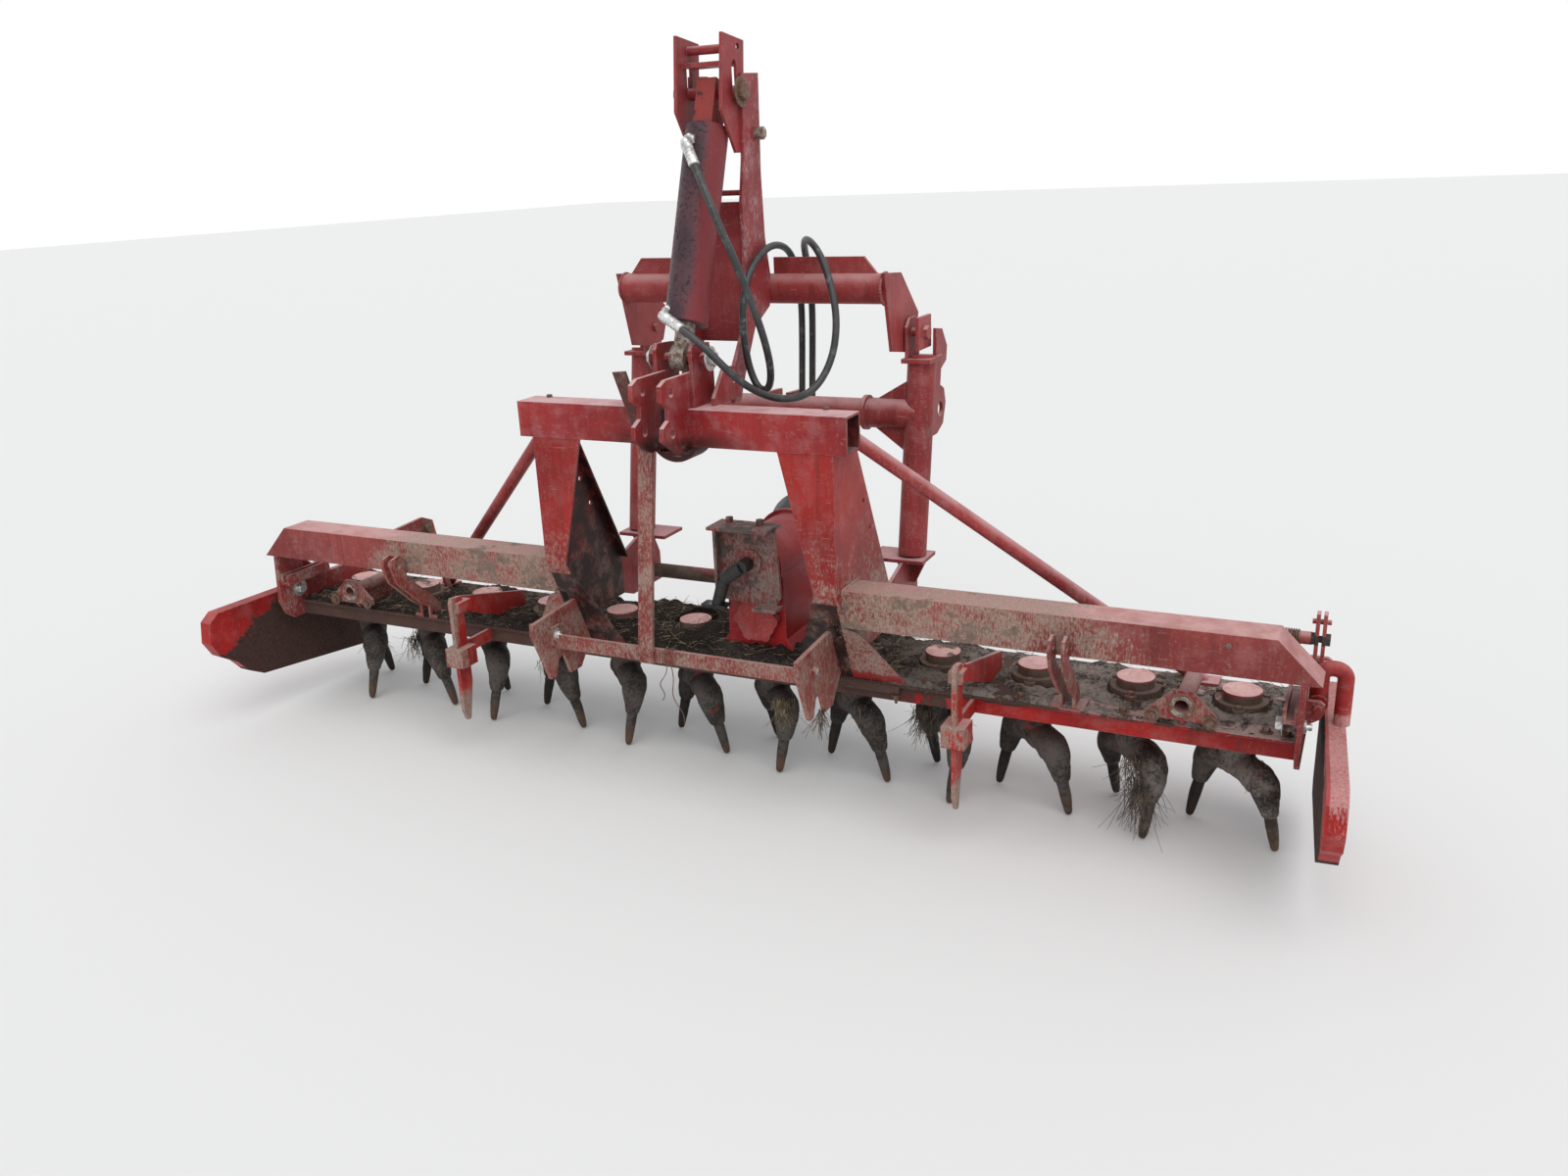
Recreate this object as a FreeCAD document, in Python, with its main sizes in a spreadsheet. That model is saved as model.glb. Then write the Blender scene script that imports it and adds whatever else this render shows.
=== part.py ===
import FreeCAD, Part
import math
import os

# A towed power harrow, three metres wide, with twelve upright rotors under a gear trough.
# X runs along the working width, Y points forward to the tractor, Z is up, and the tine tips stand on Z = 0.

doc = FreeCAD.newDocument("power_harrow")
sheet = doc.addObject("Spreadsheet::Sheet", "Sizes")

SIZES = [
    # name, value in millimetres or degrees, what it sizes
    ("rotor_pitch", 250, "distance between neighbouring rotor axes"),
    ("rotor_count", 12, "number of rotors"),
    ("tip_radius", 120, "radius of the tine tips about the rotor axis"),
    ("even_phase", -26, "angle of the even rotors' tines at rest"),
    ("tine_tip_radius", 7, "radius of a tine at its worn tip"),
    ("tine_root_radius", 19, "radius of a tine where it leaves its socket"),
    ("tine_splay", 5, "outward lean of a tine"),
    ("tine_free_length", 112, "length of tine below its socket"),
    ("socket_radius", 27, "radius of the horn's socket end"),
    ("elbow_radius", 40, "thickness radius of the horn at its bend"),
    ("shoulder_radius", 37, "thickness radius of the horn at the hub"),
    ("arm_height", 196, "height of the horns where they leave the hub"),
    ("hub_radius", 52, "radius of the rotor hub"),
    ("shaft_radius", 25, "radius of the rotor shaft"),
    ("shaft_play", 0.06, "radial clearance of a shaft in its bore"),
    ("shaft_rise", 24, "how far the rotor shafts stand in the trough"),
    ("trough_end", 10, "length of the trough past the last rotor's half pitch"),
    ("trough_width", 300, "width of the gear trough over its lips"),
    ("trough_bottom", 304, "height of the trough's floor"),
    ("lip_bottom", 293, "height of the lips' lower edge"),
    ("lip_wall", 8, "thickness of the lips"),
    ("deck_height", 342, "height of the deck's upper face"),
    ("deck_wall", 8, "thickness of the deck plate"),
    ("deck_overhang", 9, "how far the deck stands past the trough"),
    ("cap_flange_radius", 62, "radius of a bearing cap's flange"),
    ("cap_flange_wall", 22, "height of a bearing cap's flange"),
    ("cap_disc_radius", 46, "radius of a bearing cap's raised disc"),
    ("cap_disc_wall", 24, "height of the raised disc"),
    ("cap_bolt_radius", 9, "radius of a cap bolt's head"),
    ("beam_depth", 98, "depth of the main beams along Y"),
    ("beam_height", 98, "height of the main beams"),
    ("beam_wall", 6, "wall of the main beams"),
    ("beam_rear", -229, "place of the main beams' rear face"),
    ("beam_bottom", 509, "height of the main beams' underside"),
    ("beam_inner", 437, "distance of the main beams' inner ends from the middle"),
    ("beam_overhang", 44, "how far the main beams' outer lower corners stand past the end plates' inner faces"),
    ("end_plate_wall", 12, "thickness of the end plates"),
    ("lever_y", -68, "place of the end lever's flats"),
    ("lever_wall", 8, "thickness of the end lever's flats"),
    ("lever_width", 28, "width of the end lever's flats"),
    ("lever_rod_z", 556, "height of the end lever's spring rod"),
    ("lever_rod_reach", 84, "how far the spring rod points inwards"),
    ("cross_half", 475, "half length of the portal crossbeam"),
    ("cross_rear", -264, "place of the crossbeam's rear face"),
    ("cross_depth", 84, "depth of the crossbeam"),
    ("cross_bottom", 959, "height of the crossbeam's underside"),
    ("cross_height", 94, "height of the crossbeam"),
    ("cross_wall", 6, "wall of the crossbeam"),
    ("leg_wall", 8, "sheet thickness of the portal legs"),
    ("leg_outer", 437, "distance of the legs' outer faces from the middle"),
    ("hitch_inner", 34, "half gap between the twin hitch plates"),
    ("hitch_wall", 12, "thickness of the hitch plates"),
    ("hitch_hole_radius", 11, "radius of the hitch plates' holes"),
    ("lock_x", 84, "distance of the lock lugs from the middle"),
    ("lock_wall", 10, "thickness of the lock lugs"),
    ("foot_wall", 10, "thickness of the cylinder foot's uprights"),
    ("foot_pin_radius", 12.5, "radius of the cylinder's lower pin"),
    ("foot_y", -192, "place of the cylinder's lower pin"),
    ("foot_z", 1170, "height of the cylinder's lower pin"),
    ("post_radius", 40, "radius of the front posts"),
    ("post_wall", 5, "wall of the front posts"),
    ("post_x", 447, "distance of the posts from the middle"),
    ("post_foot_y", 255, "place of the posts' lower ends"),
    ("post_foot_z", 560, "height of the posts' lower ends"),
    ("post_head_y", 350, "place of the posts' upper ends"),
    ("post_head_z", 1108, "height of the posts' upper ends"),
    ("link_reach", 85, "distance of the top link's hole in front of the front cross tube"),
    ("hook_reach", 59.7, "how far the posts' hooks stand past the top link's hole"),
    ("hook_wall", 10, "thickness of the posts' hooks"),
    ("front_tube_z", 948, "height of the front cross tube"),
    ("front_tube_radius", 39, "radius of the front cross tube"),
    ("sleeve_radius", 42, "radius of the sleeves on the front cross tube"),
    ("collar_radius", 49, "radius of the collars on the front cross tube"),
    ("hitch_bar_radius", 22, "radius of the round lower hitch bar"),
    ("hitch_bar_y", 280, "place of the lower hitch bar"),
    ("hitch_bar_z", 420, "height of the lower hitch bar"),
    ("link_pin_radius", 14, "radius of the lower link pins"),
    ("link_pin_length", 75, "free length of the lower link pins"),
    ("top_link_hole", 12.75, "radius of the top link's holes"),
    ("pivot_y", 340, "place of the lift frame's pivot"),
    ("pivot_z", 1172, "height of the lift frame's pivot"),
    ("pivot_pin_radius", 12, "radius of the pivot bolts"),
    ("arch_tube_y", 200, "place of the lift frame's cross tube"),
    ("arch_tube_z", 1302, "height of the lift frame's cross tube"),
    ("arch_tube_radius", 40, "radius of the lift frame's cross tube"),
    ("arch_half", 400, "half length of the lift frame's cross tube"),
    ("arch_wall", 10, "thickness of the lift frame's end plates"),
    ("mast_inner", 68, "half gap between the mast's side plates"),
    ("mast_ear_wall", 8, "thickness of the ears at the mast's head"),
    ("mast_wall", 10, "thickness of the mast's side plates"),
    ("head_pin_y", 38, "place of the cylinder's upper pin"),
    ("head_pin_z", 1798, "height of the cylinder's upper pin"),
    ("head_pin_radius", 15, "radius of the cylinder's upper pin"),
    ("barrel_radius", 55, "radius of the cylinder barrel"),
    ("barrel_start", 86, "distance of the barrel's lower end from the lower pin"),
    ("barrel_end", 580, "distance of the barrel's upper end from the lower pin"),
    ("block_half", 27, "half width of the cylinder's head block"),
    ("block_depth", 30, "half depth of the cylinder's head block"),
    ("block_reach", 28, "how far the head block stands past the upper pin"),
    ("rod_radius", 25, "radius of the cylinder rod"),
    ("rod_play", 0.03, "radial clearance of the rod in the barrel"),
    ("eye_radius", 34, "outer radius of the rod's eye"),
    ("eye_play", 5.5, "radial clearance of the rod's eye on its pin"),
    ("gearbox_rotor", 7, "number of the rotor that carries the gearbox"),
    ("gearbox_axis_z", 605, "height of the input shaft"),
    ("gearbox_radius", 86, "radius of the gearbox barrel"),
    ("journal_radius", 22.5, "radius of the input shaft in its bearing"),
    ("pto_radius", 17.45, "radius of the input shaft"),
    ("nose_radius", 62, "radius of the gearbox nose round the input shaft"),
    ("guard_play", 0.3, "gap between the shaft guard and the gearbox nose"),
    ("guard_radius", 118, "radius of the shaft guard's mouth"),
    ("guard_wall", 5, "wall of the shaft guard"),
    ("knife_place", 3.024, "place of the marker knives, in rotor pitches from the middle"),
    ("knife_wall", 12, "thickness of the marker knives"),
    ("socket_place", 5.048, "place of the roller pivots, in rotor pitches from the middle"),
    ("socket_bore", 16, "radius of the roller pivots' bore"),
    ("lug_place", 3.968, "place of the roller lugs, in rotor pitches from the middle"),
    ("lug_wall", 8, "thickness of the roller lugs"),
    ("bracket_x", 385, "distance of the tie brackets from the middle"),
    ("bracket_wall", 12, "thickness of the tie brackets"),
    ("tie_y", -326, "place of the tie bar's bolts"),
    ("tie_z", 423, "height of the tie bar's bolts"),
    ("stay_wall", 12, "thickness of the middle stay"),
    ("stay_width", 42, "width of the middle stay"),
    ("brace_place_right", 5.08, "place of the right brace's foot, in rotor pitches from the middle"),
    ("brace_place_left", 4.6, "place of the left brace's foot, in rotor pitches from the middle"),
    ("brace_radius", 18, "radius of the side braces"),
    ("shield_gap", 51, "distance of the side shields from the end plates' inner faces"),
    ("shield_toe", 4, "angle by which the side shields stand closer at the front"),
    ("shield_wall", 5, "thickness of the side shields"),
    ("shield_rim", 44, "width of the side shields' rim"),
    ("shield_pivot_z", 425, "height of the side shields' pivot"),
    ("pivot_standoff", 14, "gap between an end plate and its pivot rod"),
    ("pivot_ear_wall", 12, "thickness of the ears that hold the pivot rods"),
    ("shield_pin_radius", 9, "radius of the side shields' pivot rods"),
    ("arm_radius", 18, "radius of the shield arms"),
    ("port_radius", 10, "radius of the cylinder's hose ports"),
    ("ferrule_wall", 3, "wall of a hose's ferrule"),
    ("ferrule_length", 46, "length of a hose's ferrule"),
    ("hose_radius", 9.5, "radius of the hydraulic hoses"),
    ("coupler_radius", 14, "radius of the hoses' couplers"),
]

for row, (alias, amount, note) in enumerate(SIZES, start=1):
    sheet.set("A%d" % row, alias)
    sheet.set("B%d" % row, str(amount))
    sheet.set("C%d" % row, note)
    sheet.setAlias("B%d" % row, alias)
doc.recompute()


class Dim:
    """A length that keeps both its value and the spreadsheet formula it comes from."""

    def __init__(self, value, text):
        self.value = value
        self.text = text

    @staticmethod
    def of(other):
        return other if isinstance(other, Dim) else Dim(float(other), repr(float(other)))

    def __add__(self, other):
        other = Dim.of(other)
        return Dim(self.value + other.value, "(%s + %s)" % (self.text, other.text))

    def __sub__(self, other):
        other = Dim.of(other)
        return Dim(self.value - other.value, "(%s - %s)" % (self.text, other.text))

    def __mul__(self, other):
        other = Dim.of(other)
        return Dim(self.value * other.value, "(%s * %s)" % (self.text, other.text))

    def __truediv__(self, other):
        other = Dim.of(other)
        return Dim(self.value / other.value, "(%s / %s)" % (self.text, other.text))

    def __neg__(self):
        return self * -1

    __radd__ = __add__
    __rmul__ = __mul__

    def __rsub__(self, other):
        return Dim.of(other) - self

    def __float__(self):
        return float(self.value)


def size(alias):
    """The named cell of the spreadsheet."""
    return Dim(float(sheet.get(alias)), "Sizes." + alias)


def bind(target, prop, amount):
    """Set a property to a length, and tie it to the spreadsheet where the length comes from there."""
    amount = Dim.of(amount)
    if not prop.startswith("."):
        setattr(target, prop, amount.value)
    if "Sizes." in amount.text:
        target.setExpression(prop, amount.text)


# Heights are given for a deck at this level. A deck at another height carries all that stands on it along.
DECK = 342
RAISED = size("deck_height") - DECK


def place(target, x=0, y=0, z=0, turn=None):
    """Move an object to x, y, z, turned by a rotation, with the place tied to the spreadsheet."""
    base = FreeCAD.Vector(float(x), float(y), float(z))
    target.Placement = FreeCAD.Placement(base, turn or FreeCAD.Rotation())
    for letter, amount in (("x", x), ("y", y), ("z", z + RAISED)):
        bind(target, ".Placement.Base." + letter, amount)
    return target


ALONG = {
    "X": FreeCAD.Rotation(FreeCAD.Vector(0, 0, 1), FreeCAD.Vector(1, 0, 0)),
    "Y": FreeCAD.Rotation(FreeCAD.Vector(0, 0, 1), FreeCAD.Vector(0, 1, 0)),
    "Z": FreeCAD.Rotation(),
}
PLANES = {"X": "YZ_Plane", "Y": "XZ_Plane"}


def box(x, y, z, dx, dy, dz):
    """A block from its lowest corner and its three sides."""
    block = doc.addObject("Part::Box", "Block")
    bind(block, "Length", dx)
    bind(block, "Width", dy)
    bind(block, "Height", dz)
    return place(block, x, y, z)


def rod(x, y, z, radius, length, along="Z"):
    """A round bar that starts at x, y, z and runs along an axis."""
    bar = doc.addObject("Part::Cylinder", "Bar")
    bind(bar, "Radius", radius)
    bind(bar, "Height", length)
    return place(bar, x, y, z, ALONG[along])


def strut(start, end, radius, wall=None):
    """A round bar or tube between two points."""
    first = FreeCAD.Vector(*[float(c) for c in start])
    run = FreeCAD.Vector(*[float(c) for c in end]) - first
    turn = FreeCAD.Rotation(FreeCAD.Vector(0, 0, 1), run)
    bar = doc.addObject("Part::Cylinder", "Strut")
    bind(bar, "Radius", radius)
    bar.Height = run.Length
    place(bar, start[0], start[1], start[2], turn)
    if wall is None:
        return bar
    bore = doc.addObject("Part::Cylinder", "Strut_bore")
    bind(bore, "Radius", Dim.of(radius) - wall)
    bore.Height = run.Length
    place(bore, start[0], start[1], start[2], turn)
    return cut(bar, bore)


def hexagon(x, y, z, radius, length, along="Z"):
    """A hexagonal bolt head or nut."""
    prism = doc.addObject("Part::Prism", "Hexagon")
    prism.Polygon = 6
    bind(prism, "Circumradius", radius)
    bind(prism, "Height", length)
    return place(prism, x, y, z, ALONG[along])


def plate(outline, axis, start, wall):
    """A flat plate square to X or Y: its outline is padded from start by the wall's thickness."""
    body = doc.addObject("PartDesign::Body", "Plate")
    sketch = body.newObject("Sketcher::SketchObject", "Outline")
    plane = [f for f in body.Origin.OriginFeatures if f.Role == PLANES[axis]][0]
    sketch.AttachmentSupport = [(plane, "")]
    sketch.MapMode = "FlatFace"
    start = Dim.of(start)
    offset = -start if axis == "Y" else start
    sketch.AttachmentOffset = FreeCAD.Placement(FreeCAD.Vector(0, 0, offset.value), FreeCAD.Rotation())
    bind(sketch, ".AttachmentOffset.Base.z", offset)
    corners = [FreeCAD.Vector(float(a), float(b), 0) for a, b in outline]
    count = len(corners)
    sketch.addGeometry([Part.LineSegment(corners[i], corners[(i + 1) % count]) for i in range(count)], False)
    pad = body.newObject("PartDesign::Pad", "Pad")
    pad.Profile = sketch
    pad.Reversed = axis == "Y"
    bind(pad, "Length", wall)
    sketch.Visibility = False
    return place(body)


def fuse(*pieces):
    """One solid made of pieces that are welded or cast together."""
    pieces = [p for group in pieces for p in (group if isinstance(group, list) else [group])]
    if len(pieces) == 1:
        return pieces[0]
    joined = doc.addObject("Part::MultiFuse", "Weldment")
    joined.Shapes = pieces
    joined.Refine = True
    return joined


def cut(base, *tools):
    """A piece with holes or hollows taken out."""
    left = doc.addObject("Part::Cut", "Cut")
    left.Base = base
    left.Tool = fuse(*tools)
    left.Refine = True
    return left


def mirrored(source):
    """The same piece on the other side of the machine."""
    twin = doc.addObject("Part::Mirroring", "Twin")
    twin.Source = source
    twin.Base = FreeCAD.Vector(0, 0, 0)
    twin.Normal = FreeCAD.Vector(1, 0, 0)
    return twin


def shaped(shape):
    """A piece that Part's own functions made."""
    made = doc.addObject("Part::Feature", "Shaped")
    made.Shape = shape
    return made


NODES = []


def node(label, *pieces):
    """Name a finished sub-part. Several like pieces may share one name."""
    if len(pieces) == 1:
        finished = pieces[0]
    else:
        finished = doc.addObject("Part::Compound", label)
        finished.Links = list(pieces)
    finished.Label = label
    NODES.append(finished)
    return finished


def pipe(label, route, radius):
    """A round bar or hose along straight runs joined by tangent arcs, as large as the runs allow."""
    points = [FreeCAD.Vector(*p) for p in route]
    edges = []
    radii = []
    last = points[0]
    for before, corner, after in zip(points, points[1:], points[2:]):
        inward = (before - corner).normalize()
        outward = (after - corner).normalize()
        shorter = min((before - corner).Length, (after - corner).Length)
        reach = 0.45 * shorter
        half_turn = (math.pi - inward.getAngle(outward)) / 2
        radii.append(reach / math.tan(half_turn))
        enter = corner + inward * reach
        leave = corner + outward * reach
        bisector = (inward + outward).normalize()
        centre = corner + bisector * (radii[-1] / math.cos(half_turn))
        middle = centre - bisector * radii[-1]
        edges.append(Part.LineSegment(last, enter).toShape())
        edges.append(Part.Arc(enter, middle, leave).toShape())
        last = leave
    edges.append(Part.LineSegment(last, points[-1]).toShape())
    path = Part.Wire(edges)
    heading = points[1] - points[0]
    ring = Part.Wire(Part.Circle(points[0], heading, float(radius)).toShape())
    tube = path.makePipeShell([ring], True, False)
    ideal = math.pi * float(radius) ** 2 * path.Length
    print("%s: length %.0f mm, radii %s, volume ratio %.4f" % (
        label, path.Length, [round(r) for r in radii], tube.Volume / ideal))
    return place(shaped(tube))


# Gear trough: a shallow pan with lips front and rear, under a bolted deck plate.
# The rotor shafts come up into bores in its floor.
half_trough = size("rotor_pitch") * size("rotor_count") / 2 + size("trough_end")
half_width = size("trough_width") / 2
pan = box(-half_trough, -half_width, size("lip_bottom"), half_trough * 2, half_width * 2,
          DECK - size("deck_wall") - size("lip_bottom"))
under = box(-half_trough - 1, size("lip_wall") - half_width, size("lip_bottom") - 1, half_trough * 2 + 2,
            (half_width - size("lip_wall")) * 2, size("trough_bottom") - size("lip_bottom") + 1)
deck = box(-half_trough - 2, -half_width - size("deck_overhang"), DECK - size("deck_wall"),
           half_trough * 2 + 4, (half_width + size("deck_overhang")) * 2, size("deck_wall"))
rotor_places = []
for index in range(int(size("rotor_count").value)):
    rotor_places.append(size("rotor_pitch") * (index - (size("rotor_count").value - 1) / 2))
bore_depth = size("trough_bottom") + size("shaft_rise") - size("lip_bottom") + 1
bores = [rod(x, 0, size("lip_bottom"), size("shaft_radius") + size("shaft_play"), bore_depth)
         for x in rotor_places]
node("gear_trough", cut(fuse(pan, deck), [under] + bores))

# Bearing caps: a lobed flange with three bolts and a raised disc over every rotor.
gearbox_rotor = int(size("gearbox_rotor").value)
caps = []
for index, x in enumerate(rotor_places, start=1):
    if index == gearbox_rotor:
        continue
    flange = rod(x, 0, DECK, size("cap_flange_radius"), size("cap_flange_wall"))
    disc = rod(x, 0, DECK + size("cap_flange_wall"), size("cap_disc_radius"), size("cap_disc_wall"))
    ears = []
    for turn in (30, 150, 270):
        ear_x = x + size("cap_flange_radius") * math.cos(math.radians(turn))
        ear_y = size("cap_flange_radius") * math.sin(math.radians(turn))
        ears.append(rod(ear_x, ear_y, DECK, size("cap_bolt_radius") + 6, size("cap_flange_wall") - 4))
        ears.append(hexagon(ear_x, ear_y, DECK, size("cap_bolt_radius"), size("cap_flange_wall") + 5))
    caps.append(fuse(flange, disc, ears))
node("bearing_caps", *caps)

# Main beams: square tubes above the trough's rear edge, with their outer ends cut at 45 degrees and closed.
beam_top = size("beam_bottom") + size("beam_height")
plate_face = half_trough + 2
beam_outer = plate_face + size("beam_overhang")
beam_face = [(size("beam_inner"), size("beam_bottom")), (beam_outer, size("beam_bottom")),
             (beam_outer - size("beam_height"), beam_top), (size("beam_inner"), beam_top)]
wall = size("beam_wall")
beam_core = [(size("beam_inner") + wall, size("beam_bottom") + wall),
             (beam_outer - wall * 2.4, size("beam_bottom") + wall),
             (beam_outer - size("beam_height") - wall * 0.4, beam_top - wall),
             (size("beam_inner") + wall, beam_top - wall)]
beam = cut(plate(beam_face, "Y", size("beam_rear"), size("beam_depth")),
           plate(beam_core, "Y", size("beam_rear") + wall, size("beam_depth") - wall * 2))
node("main_beams", beam, mirrored(beam))

# End plates: they stand on the ends of the trough and carry the main beams' outer ends.
# Two ears on each hold the pivot rod of the side shield, and a channel lies along the inner face.
beam_front = size("beam_rear") + size("beam_depth")
pz = size("shield_pivot_z")
pivot_x = plate_face + size("end_plate_wall") + size("shield_pin_radius") + size("pivot_standoff")
outline = [(size("beam_rear"), size("beam_bottom")), (size("beam_rear") - 12, 360), (-225, 315), (-196, 293),
           (half_width, 293), (half_width + 20, 330), (half_width + 20, 385), (half_width, 400),
           (beam_front, 400), (beam_front, size("beam_bottom"))]
end_wall = plate(outline, "X", plate_face, size("end_plate_wall"))
ear_front = half_width - size("pivot_ear_wall") - 8
ear_rear = beam_front - size("pivot_ear_wall") - 6
ears = []
for ear_y in (ear_rear, ear_front):
    ears.append(plate([(plate_face + size("end_plate_wall"), pz - 45), (pivot_x + 5, pz - 26),
                       (pivot_x + 15, pz - 10), (pivot_x + 15, pz + 10), (pivot_x + 5, pz + 17),
                       (plate_face, pz + 17), (plate_face, pz - 45)], "Y", ear_y, size("pivot_ear_wall")))
pivot_rod = rod(pivot_x, ear_rear - 6, pz, size("shield_pin_radius"),
                ear_front - ear_rear + size("pivot_ear_wall") + 12, "Y")
rail = cut(box(plate_face - 32, -226, 412, 32, 176, 34), box(plate_face - 24, -227, 420, 16, 178, 27))
end_right = fuse(end_wall, ears, pivot_rod, rail)
node("end_plate_right", end_right)
node("end_plate_left", mirrored(end_right))

# End lever: two upright flats bolted together on the right end plate, with a spring rod that points inwards.
lever_x = plate_face + size("end_plate_wall")
lever_middle = size("lever_y") + size("lever_width") / 2
inner_flat = box(lever_x, size("lever_y"), 350, size("lever_wall"), size("lever_width"), 269)
outer_flat = box(lever_x + 15, size("lever_y"), 470, size("lever_wall"), size("lever_width"), 149)
spacers = [rod(lever_x - 8, lever_middle, z, 6, 40, "X") for z in (500, 598)]
rod_reach = size("lever_rod_reach")
rod_z = size("lever_rod_z")
spring_rod = rod(lever_x - rod_reach, lever_middle, rod_z, 8, rod_reach + 30, "X")
spring = rod(lever_x - 56, lever_middle, rod_z, 15, 50, "X")
spring_nuts = [hexagon(lever_x + shift, lever_middle, rod_z, 15, 10, "X") for shift in (-10, 23)]
node("end_lever", fuse(inner_flat, outer_flat, spacers, spring_rod, spring, spring_nuts))

# Portal legs: bent sheet channels from the deck up to the crossbeam, open inwards, with flared feet.
leg_rear = size("cross_rear") + 2
outer = size("leg_outer")
flare_z = 600
foot_y = 6 - half_width - size("deck_overhang")


def foot_line(height):
    """The place of the legs' sloping rear sheet at a height below the flare."""
    return leg_rear + (foot_y - leg_rear) * ((flare_z - height) / (flare_z - DECK))


web_sheet = plate([(outer - 148, size("cross_bottom")), (outer, size("cross_bottom")), (outer, flare_z),
                   (outer - 63, flare_z)], "Y", leg_rear, size("leg_wall"))
side_sheet = plate([(leg_rear, size("cross_bottom")), (-118, size("cross_bottom")), (100, 520), (100, 400),
                    (-84, 400), (-100, DECK), (foot_y, DECK), (leg_rear, flare_z)],
                   "X", outer - size("leg_wall"), size("leg_wall"))
lip_slope = plate([(-118, size("cross_bottom")), (-125, size("cross_bottom")), (93, 520), (100, 520)],
                  "X", outer - 32, 32)
apron_face = plate([(outer - 63, flare_z), (outer, flare_z), (outer, 506), (outer + 35, 494),
                    (outer + 140, DECK), (outer - 168, DECK)], "Y", -400, 400)
apron_sheet = plate([(leg_rear, flare_z), (leg_rear + size("leg_wall"), flare_z),
                     (foot_y + size("leg_wall"), DECK), (foot_y, DECK)], "X", outer - 200, 400)
apron = doc.addObject("Part::Common", "Apron")
apron.Base = apron_face
apron.Tool = apron_sheet
leg_holes = [rod(outer - 20, -75, 800, 8, 40, "X"), rod(outer - 20, -35, 720, 8, 40, "X"),
             box(outer - 30, -330, 470, 16, 200, 40)]
leg = cut(fuse(web_sheet, side_sheet, lip_slope, apron), leg_holes)
node("portal_legs", leg, mirrored(leg))

# Portal crossbeam: an open rectangular tube in two halves, which meet the twin hitch plates in the middle.
hitch_outer = size("hitch_inner") + size("hitch_wall")
tube_wall = size("cross_wall")
half_beam = cut(box(hitch_outer, size("cross_rear"), size("cross_bottom"), size("cross_half") - hitch_outer,
                    size("cross_depth"), size("cross_height")),
                box(hitch_outer - 1, size("cross_rear") + tube_wall, size("cross_bottom") + tube_wall,
                    size("cross_half") - hitch_outer + 2, size("cross_depth") - tube_wall * 2,
                    size("cross_height") - tube_wall * 2))
node("portal_crossbeam", half_beam, mirrored(half_beam))

# Rear hitch plates: two notched plates that run through the crossbeam and carry the sowing machine's top link.
cross_top = size("cross_bottom") + size("cross_height")
cross_front = size("cross_rear") + size("cross_depth")
notched = [(-356, 1141), (-383, 1129), (-385, 1091), (-350, 1071), (-354, 1042), (-383, 1027), (-387, 996),
           (-316, 950), (cross_front, 950), (cross_front, 1100), (-215, 1141)]
hitch_plate = cut(plate(notched, "X", size("hitch_inner"), size("hitch_wall")),
                  rod(0, -336, 1107, size("hitch_hole_radius"), 80, "X"),
                  rod(0, -339, 1006, size("hitch_hole_radius"), 80, "X"),
                  rod(0, -292, 971, 10, 80, "X"))
node("rear_hitch_plates", hitch_plate, mirrored(hitch_plate))

# Saddle under the crossbeam, which joins its halves below the hitch plates.
saddle = cut(rod(0, size("cross_rear") + 6, size("cross_bottom") + 34, 78, size("cross_depth") - 12, "Y"),
             box(-100, size("cross_rear"), size("cross_bottom"), 200, size("cross_depth"), 200),
             box(-hitch_outer, -500, 940, hitch_outer * 2, 400, 40))
node("beam_saddle", saddle)

# Cylinder foot: two uprights on the crossbeam that hold the lower pin.
upright = [(-242, cross_top), (-133, cross_top), (-133, 1150), (-150, 1205), (-232, 1210), (-242, 1195)]
upright_right = plate(upright, "X", hitch_outer, size("foot_wall"))
pin_half = hitch_outer + size("foot_wall") + 12
foot_pin = rod(-pin_half, size("foot_y"), size("foot_z"), size("foot_pin_radius"), pin_half * 2, "X")
foot_nuts = [hexagon(side * (pin_half + 4) - 8, size("foot_y"), size("foot_z"), 21, 16, "X")
             for side in (-1, 1)]
node("cylinder_foot", fuse(upright_right, mirrored(upright_right), foot_pin, foot_nuts))

# Lock lugs: holed plates on the crossbeam, one on each side of the mast's lower end.
lock_face = [(-205, cross_top), (-205, 1072), (-150, 1136), (-112, 1140), (-72, 1112), (-70, 1080),
             (-104, cross_top)]
lock = cut(plate(lock_face, "X", size("lock_x"), size("lock_wall")),
           rod(size("lock_x") - 14, -98, 1103, 9, 40, "X"))
node("lock_lugs", lock, mirrored(lock))

# Tie brackets: forked plates behind the legs' feet, joined by the tie bar.
fork = [(foot_line(490), 490), (-415, 479), (-419, 450), (-398, 400), (-356, 300), (-335, 300), (-318, 345),
        (-300, 352), (-285, 345), (-262, 285), (-215, 285), (foot_line(352), 352)]
bracket = cut(plate(fork, "X", size("bracket_x"), size("bracket_wall")),
              rod(0, size("tie_y"), size("tie_z"), 9, 900, "X"))
node("tie_brackets", bracket, mirrored(bracket))
tie_end = size("bracket_x")
tie_rear = size("tie_y") - 8
tie_bar = fuse(box(-tie_end + 8, tie_rear, size("tie_z") - 37, tie_end * 2 - 16, 10, 40),
               box(-tie_end, tie_rear - 10, size("tie_z") - 31, 8, 36, 56),
               box(tie_end - 8, tie_rear - 10, size("tie_z") - 31, 8, 36, 56),
               rod(-tie_end - 22, size("tie_y"), size("tie_z"), 8.5, 34, "X"),
               rod(tie_end - 12, size("tie_y"), size("tie_z"), 8.5, 34, "X"),
               hexagon(-tie_end - size("bracket_wall") - 10, size("tie_y"), size("tie_z"), 14, 10, "X"),
               hexagon(tie_end + size("bracket_wall"), size("tie_y"), size("tie_z"), 14, 10, "X"))
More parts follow.
